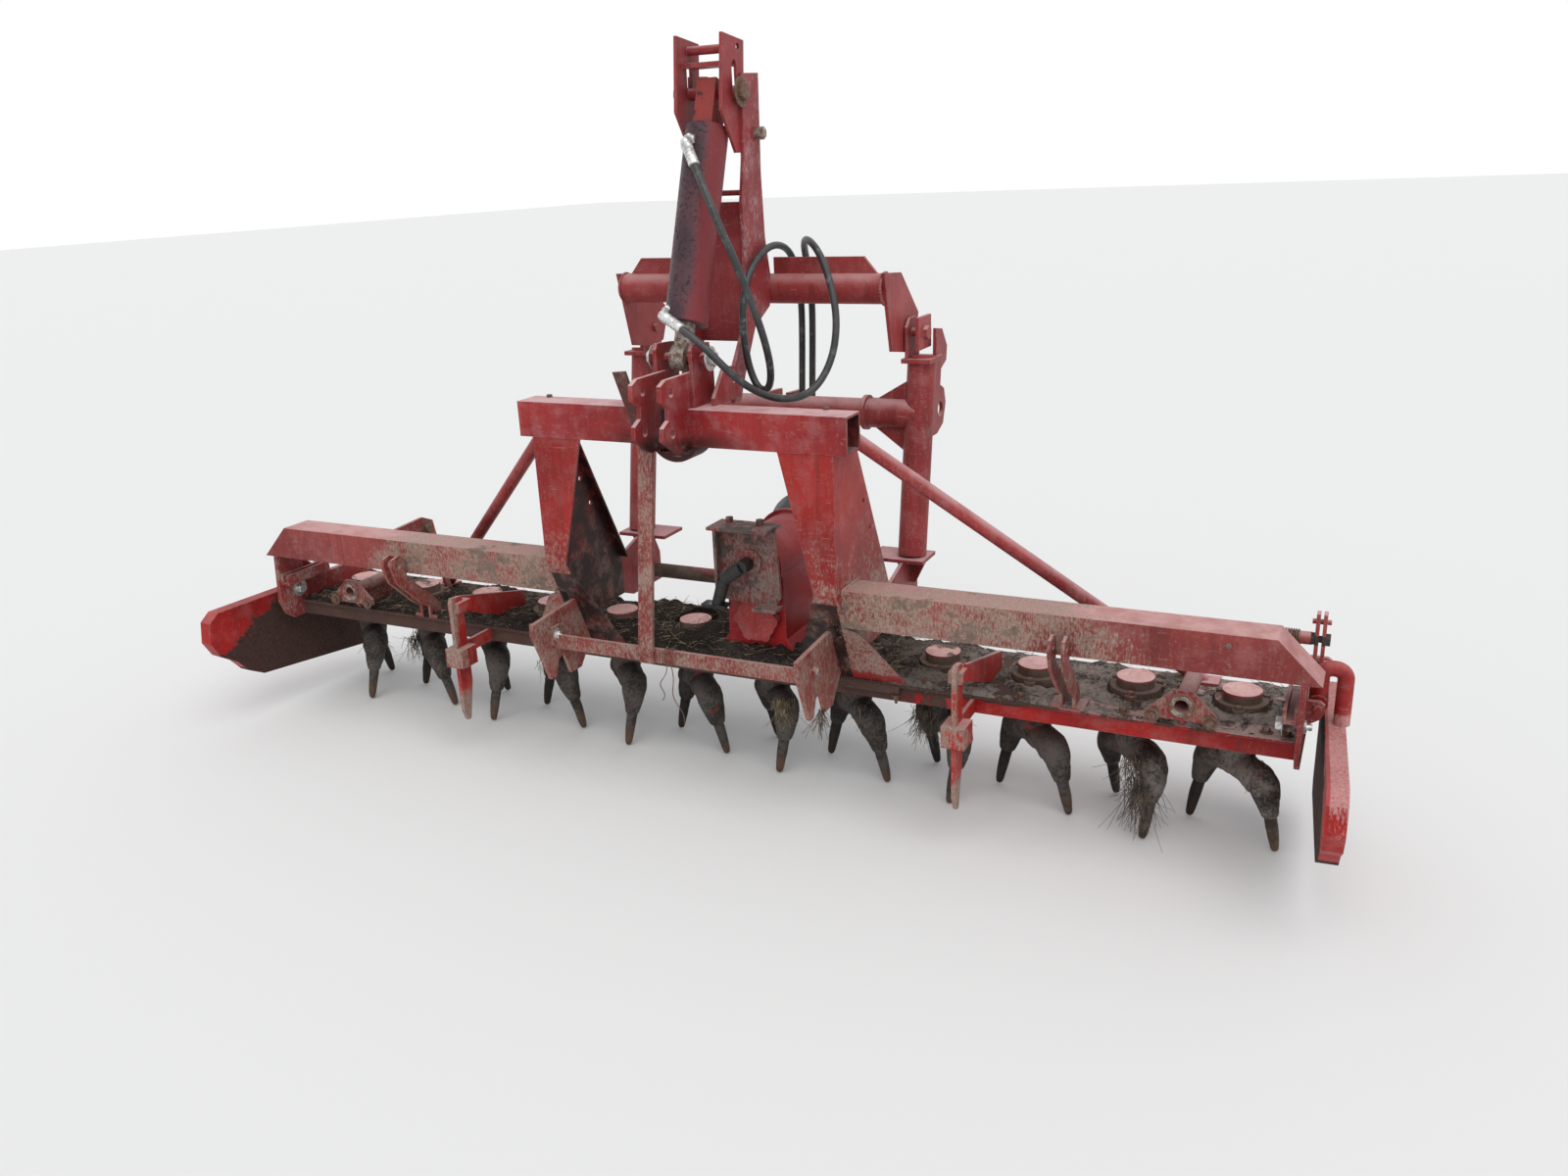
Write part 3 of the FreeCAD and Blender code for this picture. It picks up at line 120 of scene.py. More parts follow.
turned = Matrix((across, over, -ahead)).transposed().to_4x4()
camera.matrix_world = Matrix.Translation(EYE) @ turned
scene.camera = camera

# Hoses: two black two-wire hydraulic hoses, which leave the cylinder's ports, hang down in a loop behind
# the mast's right side and go over the ridge to the tractor's side. Their ends are plated couplers.


def put(name, points, faces, body, finish, slot="red_paint", smooth=True):
    """A mesh object from an array of points and a list of faces, which rides on a body and wears one
    finish."""
    mesh = bpy.data.meshes.new(name)
    mesh.from_pydata(np.asarray(points, float).tolist(), [], [list(map(int, face)) for face in faces])
    mesh.materials.append(finish)
    if smooth:
        mesh.shade_smooth()
        mesh.set_sharp_from_angle(angle=math.radians(38))
    made = bpy.data.objects.new(name, mesh)
    scene.collection.objects.link(made)
    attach(made, body)
    return made


def around(count):
    """Equal steps of a full turn."""
    return np.linspace(0, 2 * math.pi, count, endpoint=False)


def grid_faces(rows, columns, closed=True, ends=False):
    """Quads between neighbouring points of a grid stored row by row; closed joins the last column to the
    first, and ends closes the first and the last row."""
    row = np.arange(rows - 1)[:, None]
    column = np.arange(columns if closed else columns - 1)[None, :]
    after = (column + 1) % columns
    quads = np.stack([row * columns + column, row * columns + after, (row + 1) * columns + after,
        (row + 1) * columns + column], -1)
    faces = quads.reshape(-1, 4).tolist()
    if ends:
        faces += [list(range(columns))[::-1], list(range((rows - 1) * columns, rows * columns))]
    return faces


def carried(path, radii, sides=12):
    """A round section carried along a path: each point is the path's point plus its radius times cosine and
    sine along two directions square to the path, which are turned as little as possible from point to
    point."""
    path, radii = np.asarray(path, float), np.asarray(radii, float)
    size = radii if radii.ndim == 2 else np.broadcast_to(radii.reshape(-1, 1), (len(path), 1))
    way = np.gradient(path, axis=0)
    way /= np.linalg.norm(way, axis=1)[:, None] + 1e-12
    side = np.zeros_like(path)
    seed = np.array([0.0, 0.0, 1.0]) if abs(way[0][2]) < 0.9 else np.array([1.0, 0.0, 0.0])
    for index in range(len(path)):
        seed = seed - way[index] * seed.dot(way[index])
        seed /= np.linalg.norm(seed)
        side[index] = seed
    third = np.cross(way, side)
    angle = around(sides)
    ring = path[:, None, :] + (side[:, None, :] * (np.cos(angle) * size)[:, :, None] + third[:, None, :]
        * (np.sin(angle) * size)[:, :, None])
    return ring.reshape(-1, 3), grid_faces(len(path), sides, ends=True)


def joined(shapes):
    """Puts several (points, faces) shapes together as one."""
    points, faces, start = [], [], 0
    for shape_points, shape_faces in shapes:
        points.append(np.asarray(shape_points, float))
        faces.extend([[corner + start for corner in face] for face in shape_faces])
        start += len(shape_points)
    return np.concatenate(points), faces


def turned_part(start, end, profile, sides=32, flats=0):
    """A lathe shape: each (share of the way, radius) of the profile is a ring about the line from start to
    end. With flats, a ring is the polygon of that many sides whose flats are at the radius, cut by a circle
    a little larger, which leaves the chamfer of a nut."""
    start, end = np.asarray(start, float), np.asarray(end, float)
    way = end - start
    reach = np.linalg.norm(way)
    way /= reach
    side = np.cross(way, [0, 0, 1.0] if abs(way[2]) < 0.9 else [1.0, 0, 0])
    side /= np.linalg.norm(side)
    third = np.cross(way, side)
    angle = around(sides)
    rings = []
    for share, radius in profile:
        size = np.full(sides, float(radius))
        if flats:
            part = math.pi / flats
            size = radius / np.cos((angle + part) % (2 * part) - part)
            chamfer = 1.0 if 0.12 < share < 0.88 else 0.0
            size = np.minimum(size, radius * (1.02 + 0.2 * chamfer))
        rings.append(start + way * reach * share
            + (side[None, :] * (np.cos(angle) * size)[:, None] + third[None, :]
            * (np.sin(angle) * size)[:, None]))
    return np.concatenate(rings), grid_faces(len(profile), sides, ends=True)


def maths(tree, operation, *values):
    """The result of a Math node."""
    made = shader(tree, "Math", operation=operation)
    for socket, value in zip(made.inputs, values):
        linked(tree, socket, value)
    return made.outputs[0]


def times(tree, one, other):
    """One value times another."""
    return maths(tree, "MULTIPLY", one, other)


def scaled(tree, value, share, rest):
    """A value times a share, plus the rest."""
    return maths(tree, "MULTIPLY_ADD", value, share, rest)


def rise(tree, value, low, high):
    """A smooth step: 0 where a value is under low, 1 where it is over high."""
    made = shader(tree, "MapRange", interpolation_type="SMOOTHSTEP", Value=value, From_Min=low,
        From_Max=high)
    return made.outputs[0]


def blended(tree, share, below, above):
    """A colour between two others."""
    made = shader(tree, "Mix", data_type="RGBA")
    for index, value in ((0, share), (6, below), (7, above)):
        linked(tree, made.inputs[index], value)
    return made.outputs[2]


def cloud(tree, where, scale, detail=4.0, roughness=0.6):
    """Noise about 0.5 at a place."""
    return shader(tree, "TexNoise", Vector=where, Scale=scale, Detail=detail,
        Roughness=roughness).outputs[0]


def stretched(tree, where, x, y, z):
    """A place with its three coordinates scaled, which draws a pattern out along the smallest."""
    return shader(tree, "Mapping", Vector=where, Scale=(x, y, z)).outputs[0]


def axes(tree, place):
    """The three coordinates of a place."""
    return shader(tree, "SeparateXYZ", Vector=place).outputs


def place_of(tree):
    """The place on a piece, in metres."""
    return shader(tree, "TexCoord").outputs["Object"]


def finish(name, gloss=0.5):
    """A new material, its tree and the place that its patterns read."""
    made = bpy.data.materials.new(name)
    made.use_nodes = True
    made.node_tree.nodes["Principled BSDF"].inputs["Specular IOR Level"].default_value = gloss
    return made, made.node_tree, place_of(made.node_tree)


def dress(tree, colour, roughness, metallic=None, height=None, strength=0.5, depth=0.001, normal=None):
    """Links what varies over a finish to its Principled node, with a bump of a given strength and depth in
    metres."""
    surface = tree.nodes["Principled BSDF"].inputs
    linked(tree, surface["Base Color"], colour)
    linked(tree, surface["Roughness"], roughness)
    if metallic is not None:
        linked(tree, surface["Metallic"], metallic)
    if height is not None:
        bump = shader(tree, "Bump", Strength=strength, Distance=depth, Height=height)
        if normal is not None:
            linked(tree, bump.inputs["Normal"], normal)
        linked(tree, surface["Normal"], bump.outputs[0])


def hose_rubber():
    """Black rubber with grey scuffs, dust and a faint cross-hatched cover."""
    made, tree, place = finish("hose_rubber")
    scuff = rise(tree, cloud(tree, place, 34, 8, 0.7), 0.53, 0.68)
    dust = rise(tree, cloud(tree, place, 9, 5), 0.42, 0.7)
    colour = blended(tree, scuff, (0.020, 0.021, 0.023), (0.15, 0.155, 0.16))
    colour = blended(tree, times(tree, dust, 0.35), colour, (0.11, 0.10, 0.09))
    dress(tree, colour, scaled(tree, scuff, 0.3, 0.38), height=cloud(tree, place, 420, 3), strength=0.35,
        depth=0.0006)
    return made


def plated_steel():
    """Zinc-plated fittings with dull patches and grime in the hollows."""
    made, tree, place = finish("plated_steel")
    dull = rise(tree, cloud(tree, place, 60, 6), 0.42, 0.62)
    grime = rise(tree, cloud(tree, place, 140, 8, 0.7), 0.56, 0.7)
    colour = blended(tree, dull, (0.72, 0.72, 0.70), (0.46, 0.46, 0.45))
    dress(tree, blended(tree, grime, colour, (0.13, 0.11, 0.09)), scaled(tree, dull, 0.25, 0.32),
        scaled(tree, grime, -0.7, 0.85))
    return made


rubber = hose_rubber()
plated = plated_steel()
HOSE_DIAMETER = 0.019
UPPER_HOSE = [(14, -108, 1646), (58, -133, 1572), (104, -150, 1484), (148, -155, 1396), (178, -144, 1304),
    (196, -118, 1214), (196, -84, 1128), (172, -52, 1072), (132, -32, 1066), (104, -24, 1112),
    (96, -36, 1192), (94, -34, 1276), (95, 8, 1358), (98, 78, 1404), (104, 156, 1424), (106, 240, 1402),
    (102, 300, 1330), (92, 336, 1240), (80, 358, 1150), (70, 372, 1060), (63, 380, 975), (60, 382, 900)]
LOWER_HOSE = [(10, -232, 1257), (82, -244, 1218), (144, -236, 1154), (196, -196, 1094), (242, -116, 1056),
    (284, -30, 1062), (316, 26, 1134), (320, 60, 1230), (296, 82, 1324), (252, 112, 1404), (190, 168, 1438),
    (146, 244, 1412), (134, 304, 1336), (124, 338, 1246), (112, 360, 1156), (102, 374, 1066),
    (95, 382, 980), (92, 384, 905)]
couplers = []
for title, route, length, root in (("upper", UPPER_HOSE, 1.769, (-0.016, -0.040, 1.694)),
        ("lower", LOWER_HOSE, 1.552, (-0.030, -0.170, 1.292))):
    line = bpy.data.curves.new("hose_%s_rubber" % title, "CURVE")
    line.dimensions = "3D"
    spline = line.splines.new("NURBS")
    spline.points.add(len(route) - 1)
    for point, (x, y, z) in zip(spline.points, route):
        point.co = (x / 1000, y / 1000, z / 1000, 1)
    spline.order_u = 3
    spline.use_endpoint_u = True
    spline.resolution_u = 12
    line.bevel_depth = HOSE_DIAMETER / 2
    line.bevel_resolution = 6
    line.use_fill_caps = True
    line.materials.append(rubber)
    hose = bpy.data.objects.new("hose_%s_rubber" % title, line)
    scene.collection.objects.link(hose)
    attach(hose, "lift_barrel")
    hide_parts("hose_" + title)
    start = np.array(route[0]) / 1000
    second = np.array(route[1]) / 1000
    way = (second - start) / np.linalg.norm(second - start)
    end = np.array(route[-1]) / 1000
    last = end - np.array(route[-2]) / 1000
    last /= np.linalg.norm(last)
    bend = start - way * 0.046
    root = np.array(root)
    inward = (bend - root) / np.linalg.norm(bend - root)
    grooved = [(0, 0.0112), (0.03, 0.0137)]
    for ridge in (0.22, 0.44, 0.66):
        grooved += [(ridge - 0.04, 0.0137), (ridge - 0.02, 0.0127), (ridge + 0.02, 0.0127),
            (ridge + 0.04, 0.0137)]
    sleeve = turned_part(start - way * 0.020, start + way * 0.022, grooved + [(0.96, 0.0137), (1, 0.0115)])
    nut = turned_part(start - way * 0.040, start - way * 0.021,
        [(0, 0.0130), (0.12, 0.0142), (0.88, 0.0142), (1, 0.0130)], 48, 6)
    neck = turned_part(bend - way * 0.006, start - way * 0.018, [(0, 0.0100), (0.2, 0.0128), (1, 0.0128)])
    stem = turned_part(root, bend, [(0, 0.0104), (1, 0.0104)])
    collar = turned_part(root + inward * 0.016, root + inward * 0.034,
        [(0, 0.0125), (0.15, 0.0140), (0.85, 0.0140), (1, 0.0125)], 48, 6)
    fitting = put("hose_fitting_" + title, *joined([sleeve, nut, neck, stem, collar]), "lift_barrel",
        plated, "worn_steel")
    crimp = turned_part(end - last * 0.036, end, [(0, 0.0112), (0.06, 0.0137), (0.94, 0.0137), (1, 0.0125)])
    body = turned_part(end, end + last * 0.050,
        [(0, 0.0125), (0.02, 0.0142), (0.36, 0.0142), (0.40, 0.0120), (0.52, 0.0120), (0.55, 0.0139),
        (0.94, 0.0139), (1, 0.0118)])
    couplers.append(joined([crimp, body]))
coupler_pair = put("hose_coupler_pair", *joined(couplers), "lift_barrel", plated, "worn_steel")
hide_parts("hose_couplers")

# Gear trough: a folded sheet pan with a bolted deck plate, painted red, its deck under a mat of soil and
# straw. The paint has bleached to pink on the faces that look up, which are also painted lighter as top
# light, and dried mud is left wherever it was thrown.


def node_group(name, inputs, outputs):
    """A shader group with its input and output sockets: (tree, sockets to read, sockets to fill)."""
    tree = bpy.data.node_groups.new(name, "ShaderNodeTree")
    for title, kind, value in inputs:
        tree.interface.new_socket(title, in_out="INPUT",
            socket_type="NodeSocket" + kind).default_value = value
    for title, kind in outputs:
        tree.interface.new_socket(title, in_out="OUTPUT", socket_type="NodeSocket" + kind)
    return tree, tree.nodes.new("NodeGroupInput").outputs, tree.nodes.new("NodeGroupOutput").inputs


def weathered_paint():
    """Old farm paint: patchy tone, bleached where it looks up, with painted top light there too, dust in
    fine streaks, chips down to rust, worn edges, and mud that covers a share of the surface in a ragged
    crust."""
    tree, given, made = node_group("weathered_paint",
        [("Paint", "Color", (0.36, 0.05, 0.05, 1)), ("Bleached", "Color", (0.45, 0.22, 0.22, 1)),
        ("Mud Colour", "Color", (0.30, 0.23, 0.17, 1)), ("Bleach", "Float", 0.7), ("Mud", "Float", 0.2),
        ("Chips", "Float", 0.5), ("Dust", "Float", 0.4), ("Film", "Float", 0.0),
        ("Film Colour", "Color", (0.30, 0.23, 0.17, 1))],
        [("Color", "Color"), ("Roughness", "Float"), ("Height", "Float"), ("Normal", "Vector")])
    coordinates = shader(tree, "TexCoord")
    place = coordinates.outputs["Object"]
    facing = axes(tree, coordinates.outputs["Normal"])[2]
    broad = cloud(tree, place, 2.6, 5, 0.6)
    middle = cloud(tree, place, 15, 8, 0.66)
    fine = cloud(tree, place, 150, 4, 0.6)
    grit = cloud(tree, place, 520, 3, 0.6)
    deep = blended(tree, 0.5, given["Paint"], (0.10, 0.008, 0.010))
    tone = blended(tree, rise(tree, broad, 0.36, 0.62), deep, given["Paint"])
    tone = blended(tree, times(tree, rise(tree, middle, 0.44, 0.68), 0.16), tone, given["Bleached"])
    # Faces that look up take the bleached colour: sun-bleached paint, and painted top light as well.
    upward = rise(tree, facing, 0.2, 0.95)
    bleach = times(tree, upward, scaled(tree, rise(tree, middle, 0.3, 0.6), 0.45, 0.55))
    tone = blended(tree, times(tree, bleach, given["Bleach"]), tone, given["Bleached"])
    streaks = cloud(tree, stretched(tree, place, 90, 90, 14), 1.0, 5, 0.65)
    film = times(tree, rise(tree, scaled(tree, fine, 0.5, times(tree, streaks, 0.5)), 0.48, 0.66),
        given["Dust"])
    tone = blended(tree, film, tone, given["Mud Colour"])
    runs = rise(tree, cloud(tree, stretched(tree, place, 34, 34, 2.4), 1.0, 5, 0.6), 0.54, 0.70)
    runs = times(tree, runs, scaled(tree, upward, -0.38, 0.40))
    tone = blended(tree, runs, tone, (0.085, 0.022, 0.018))
    strokes = cloud(tree, stretched(tree, place, 210, 210, 70), 1.0, 5, 0.7)
    smear = scaled(tree, strokes, 0.62, scaled(tree, middle, 0.38, -0.5))
    smear = rise(tree, scaled(tree, given["Film"], 0.34, smear), 0.125, 0.235)
    smear = times(tree, smear, maths(tree, "MINIMUM", times(tree, given["Film"], 3.0), 0.88))
    dried = blended(tree, rise(tree, fine, 0.35, 0.65),
        blended(tree, 0.30, given["Film Colour"], (0.05, 0.035, 0.03)),
        blended(tree, 0.18, given["Film Colour"], (0.60, 0.48, 0.40)))
    tone = blended(tree, smear, tone, dried)
    scratch = rise(tree, cloud(tree, stretched(tree, place, 16, 200, 240), 1.0, 3, 0.55), 0.655, 0.70)
    tone = blended(tree, times(tree, scratch, 0.30), tone, (0.50, 0.31, 0.29))
    rounded = shader(tree, "Bevel", samples=4, Radius=0.0035).outputs[0]
    plain = shader(tree, "NewGeometry").outputs["Normal"]
    turn = shader(tree, "VectorMath", operation="DOT_PRODUCT")
    tree.links.new(rounded, turn.inputs[0])
    tree.links.new(plain, turn.inputs[1])
    edge = rise(tree, turn.outputs["Value"], 0.985, 0.86)
    edge = times(tree, edge, rise(tree, cloud(tree, place, 70, 6, 0.7), 0.38, 0.56))
    tone = blended(tree, times(tree, edge, 0.55), tone, (0.50, 0.30, 0.28))
    chipped = cloud(tree, place, 42, 10, 0.74)
    chips = times(tree, rise(tree, chipped, 0.655, 0.675), given["Chips"])
    tone = blended(tree, chips, tone, (0.085, 0.040, 0.028))
    specks = times(tree, rise(tree, fine, 0.66, 0.70), 0.30)
    tone = blended(tree, specks, tone, (0.50, 0.34, 0.31))
    crust = cloud(tree, place, 7.5, 12, 0.74)
    line = scaled(tree, given["Mud"], -0.46, 0.735)
    cover = rise(tree, maths(tree, "SUBTRACT", crust, line), -0.015, 0.03)
    wet = blended(tree, 0.55, given["Mud Colour"], (0.025, 0.020, 0.017))
    shade = blended(tree, rise(tree, cloud(tree, place, 26, 6, 0.65), 0.35, 0.65), given["Mud Colour"], wet)
    pale = blended(tree, 0.35, given["Mud Colour"], (0.42, 0.34, 0.27))
    shade = blended(tree, times(tree, rise(tree, grit, 0.45, 0.62), 0.5), shade, pale)
    linked(tree, made["Color"], blended(tree, times(tree, cover, 0.93), tone, shade))
    rough = scaled(tree, bleach, 0.15, scaled(tree, fine, 0.25, 0.36))
    linked(tree, made["Roughness"], maths(tree, "MAXIMUM", rough, times(tree, cover, 0.95)))
    lift = times(tree, cover, scaled(tree, grit, 0.9, 0.5))
    relief = maths(tree, "ADD", lift, scaled(tree, chips, -0.25, times(tree, fine, 0.10)))
    linked(tree, made["Height"], relief)
    linked(tree, made["Normal"], rounded)
    return tree


def caked_earth():
    """Soil that has dried on metal: three browns in patches, pale crumbs, straw flecks, wet dark
    hollows."""
    tree, given, made = node_group("caked_earth",
        [("Dry", "Color", (0.17, 0.14, 0.115, 1)), ("Wet", "Color", (0.035, 0.027, 0.021, 1)),
        ("Wetness", "Float", 0.5), ("Straw", "Float", 0.3)],
        [("Color", "Color"), ("Roughness", "Float"), ("Height", "Float")])
    place = place_of(tree)
    broad = cloud(tree, place, 9, 8, 0.68)
    crumbs = cloud(tree, place, 120, 6, 0.7)
    line = scaled(tree, given["Wetness"], 0.4, 0.3)
    dry = rise(tree, maths(tree, "SUBTRACT", scaled(tree, crumbs, 0.35, times(tree, broad, 0.65)), line),
        -0.05, 0.10)
    colour = blended(tree, dry, given["Wet"], given["Dry"])
    colour = blended(tree, times(tree, rise(tree, cloud(tree, place, 330, 3), 0.56, 0.7), 0.35), colour,
        (0.30, 0.25, 0.20))
    blades = cloud(tree, stretched(tree, place, 55, 260, 200), 1.0, 3, 0.5)
    fleck = times(tree, rise(tree, blades, 0.66, 0.71), given["Straw"])
    linked(tree, made["Color"], blended(tree, fleck, colour, (0.30, 0.22, 0.13)))
    linked(tree, made["Roughness"], scaled(tree, dry, 0.25, 0.68))
    linked(tree, made["Height"], maths(tree, "ADD", crumbs, times(tree, broad, 0.8)))
    return tree


PAINT_GROUP = weathered_paint()
EARTH_GROUP = caked_earth()


def painted(name, paint, mud=0.15, bleach=0.7, chips=0.5, dust=0.35, bleached=(0.46, 0.23, 0.225),
        crust=(0.30, 0.23, 0.17), where=None, film=0.0, film_where=None, film_colour=None, grime_and_shade_where=None):
    """A material of weathered paint; where, film_where and the last function give the share of mud crust,
    of thin mud film and of black grime with painted shade in recesses, as functions of the three
    coordinates."""
    made, tree, place = finish(name, 0.22)
    x, y, z = axes(tree, place)
    group = shader(tree, "Group", node_tree=PAINT_GROUP, Paint=paint, Bleached=bleached, Mud_Colour=crust,
        Bleach=bleach, Mud=where(tree, x, y, z) if where else mud, Chips=chips, Dust=dust,
        Film=film_where(tree, x, y, z) if film_where else film, Film_Colour=film_colour or crust).outputs
    colour = group["Color"]
    if grime_and_shade_where:
        # Black grime, and painted shade inside channels and tubes, laid over the paint in patches.
        stain_and_shade = scaled(tree, rise(tree, cloud(tree, place, 18, 7, 0.7), 0.30, 0.56), 0.6, 0.36)
        colour = blended(tree, times(tree, grime_and_shade_where(tree, x, y, z), stain_and_shade), colour, (0.016, 0.009, 0.008))
    dress(tree, colour, group["Roughness"], height=group["Height"], strength=0.75, depth=0.0022,
        normal=group["Normal"])
    return made


def deck_earth():
    """Soil and straw on the deck, dark and damp in the middle, dry and pale towards the right end."""
    made, tree, place = finish("deck_earth", 0.10)
    dusty = rise(tree, axes(tree, place)[0], 0.30, 0.85)
    dry = blended(tree, dusty, (0.058, 0.046, 0.039), (0.300, 0.255, 0.230))
    earth = shader(tree, "Group", node_tree=EARTH_GROUP, Dry=dry, Wet=(0.018, 0.014, 0.012),
        Wetness=scaled(tree, dusty, -0.20, 0.56), Straw=0.7).outputs
    dress(tree, earth["Color"], earth["Roughness"], height=earth["Height"], strength=0.9, depth=0.004)
    return made


def wear(finish_made, *names):
    """Gives every CAD node whose name starts with one of the names a finish."""
    for node_name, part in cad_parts.items():
        if node_name.startswith(names):
            part.data.materials.clear()
            part.data.materials.append(finish_made)


def lumps(x, y, scale, octaves=4, seed=1):
    """Smooth lumps about 0 from two coordinates: random heights on a square lattice, joined by cubic steps,
    added over octaves that halve in size and in height."""
    total = np.zeros(np.broadcast(x, y).shape)
    weight, size = 1.0, scale
    chance = np.random.default_rng(seed)
    for _ in range(octaves):
        heights = chance.random((64, 64)) - 0.5
        u, v = x / size + chance.random() * 60, y / size + chance.random() * 60
        i, j = np.floor(u).astype(int), np.floor(v).astype(int)
        a, b = u - i, v - j
        a, b = a * a * (3 - 2 * a), b * b * (3 - 2 * b)
        low = heights[i % 64, j % 64] * (1 - a) + heights[(i + 1) % 64, j % 64] * a
        high = heights[i % 64, (j + 1) % 64] * (1 - a) + heights[(i + 1) % 64, (j + 1) % 64] * a
        total += weight * (low * (1 - b) + high * b)
        weight, size = weight / 2, size / 2
    return total


def trough_mud(tree, x, y, z):
    """Much mud on the deck and along the lip's upper edge, and less towards the right end."""
    right = rise(tree, x, 0.70, 1.10)
    top = times(tree, rise(tree, z, 0.318, 0.338), scaled(tree, right, -0.26, 0.66))
    left = rise(tree, x, 1.05, 0.35)
    return maths(tree, "ADD", top, scaled(tree, left, 0.66, 0.10))


def trough_film(tree, x, y, z):
    """Pale dust over the bare deck at the right end."""
    return times(tree, times(tree, rise(tree, z, 0.338, 0.341), rise(tree, x, 0.75, 1.05)), 0.75)


trough_paint = painted("trough_paint", (0.43, 0.012, 0.009), chips=0.8, dust=0.10, where=trough_mud,
    crust=(0.060, 0.042, 0.035), bleached=(0.50, 0.30, 0.28), film_where=trough_film,
    film_colour=(0.42, 0.32, 0.29))
wear(trough_paint, "gear_trough")

DECK, DECK_REACH, DECK_DEPTH = 0.342, 1.508, 0.157
ROTOR_PITCH = 0.25
caps_at = [ROTOR_PITCH * (index - 5.5) for index in range(12)]


def soil_height(x, y):
    """Thickness of the soil on the deck: lumps on a thin mat, heaped in the middle third and between the
    caps, thin along the rear edge and at the right end, and none over the cap discs."""
    mat = 0.006 + 0.016 * lumps(x, y, 0.09, 5, 3) + 0.010 * lumps(x, y, 0.02, 3, 4)
    heap = np.exp(-((np.abs(x + 0.03) / 0.40) ** 4)) * (0.026 + 0.022
        * lumps(x, y, 0.16, 4, 5)) * np.clip((y + 0.150) / 0.05, 0, 1)
    thin = np.clip((x - 0.90) / 0.3, 0, 1) * (0.001 + 0.008 * np.clip((-0.055 - y) / 0.035, 0, 1))
    edge = np.exp(-((y + 0.149) / 0.007) ** 2) * (0.008 + 0.022 * lumps(x, y, 0.03, 3, 8))
    middle = np.clip((0.75 - np.abs(x)) / 0.15, 0, 1) * 0.007
    height = mat + heap - thin + edge + middle
    for index, cap_x in enumerate(caps_at):
        if index == 6:
            continue
        reach = np.hypot(x - cap_x, y)
        height = height + 0.010 * np.exp(-((reach - 0.080) / 0.014) ** 2) * (0.5 + lumps(x, y, 0.05, 2, 7))
        height = np.where(reach < 0.066, -0.004, height)
    rim = np.minimum(DECK_DEPTH - np.abs(y), DECK_REACH - np.abs(x))
    return DECK + np.clip(height, -0.003, 0.10) * np.clip(rim / 0.010, 0, 1) - 0.0015


SOIL_ROWS, SOIL_COLUMNS = 64, 604
soil_x, soil_y = np.meshgrid(np.linspace(-DECK_REACH, DECK_REACH, SOIL_COLUMNS),
    np.linspace(-DECK_DEPTH, DECK_DEPTH, SOIL_ROWS))
soil_points = np.stack([soil_x, soil_y, soil_height(soil_x, soil_y)], -1).reshape(-1, 3)
put("deck_soil", soil_points, grid_faces(SOIL_ROWS, SOIL_COLUMNS, closed=False), "main_frame", deck_earth(),
    "cast_iron")


def strands(count, starts, ways, lengths, radius, droop, seed, sides=3, steps=4, curl=0.25):
    """Thin stalks: from each start a line goes along its way, curls by two random sines and droops with the
    square of its distance."""
    chance = np.random.default_rng(seed)
    share = np.linspace(0, 1, steps)[None, :, None]
    side = np.cross(ways, chance.normal(size=(count, 3)))
    side /= np.linalg.norm(side, axis=1)[:, None] + 1e-9
    bend = chance.normal(size=(count, 1, 1)) * curl
    lines = starts[:, None, :] + lengths[:, None,
        None] * (ways[:, None, :] * share + side[:, None, :] * bend * share * share)
    lines[:, :, 2] -= droop * lengths[:, None] * share[:, :, 0] ** 2
    angle = around(sides)
    third = np.cross(ways, side)
    taper = radius * (1 - 0.5 * share)
    rings = lines[:, :, None, :] + (side[:, None, None, :] * np.cos(angle)[None, None, :, None]
        + third[:, None, None, :] * np.sin(angle)[None, None, :, None]) * taper[:, :, None, :]
    points = rings.reshape(-1, 3)
    one = np.array(grid_faces(steps, sides))
    first = np.arange(count)[:, None, None] * steps * sides
    faces = (one[None] + first).reshape(-1, 4).tolist()
    ring = np.arange(sides)
    ends = np.stack([ring[::-1], ring + (steps - 1) * sides])
    return points, faces + (ends[None] + first).reshape(-1, sides).tolist()


def straw_finish(name, pale, dark):
    """Dry stalks, each a little paler or darker along its length."""
    made, tree, place = finish(name)
    tone = rise(tree, cloud(tree, place, 38, 3), 0.35, 0.65)
    dress(tree, blended(tree, tone, dark, pale), scaled(tree, tone, 0.2, 0.65))
    return made


straw = straw_finish("dry_straw", (0.34, 0.26, 0.16), (0.09, 0.065, 0.042))
roots = straw_finish("dark_roots", (0.16, 0.12, 0.085), (0.028, 0.021, 0.016))
chance = np.random.default_rng(11)
STALKS = 2600
stalk_x = chance.uniform(-1.49, 1.49, STALKS)
stalk_y = chance.uniform(-0.15, 0.15, STALKS)
heading = chance.uniform(0, 2 * math.pi, STALKS)
stalk_start = np.stack([stalk_x, stalk_y, soil_height(stalk_x, stalk_y) + 0.0012], -1)
stalk_way = np.stack([np.cos(heading), np.sin(heading), chance.uniform(-0.02, 0.16, STALKS)], -1)
put("deck_straw", *strands(STALKS, stalk_start, stalk_way, chance.uniform(0.012, 0.055, STALKS), 0.0009,
    0.1, 12), "main_frame", straw, "cast_iron")


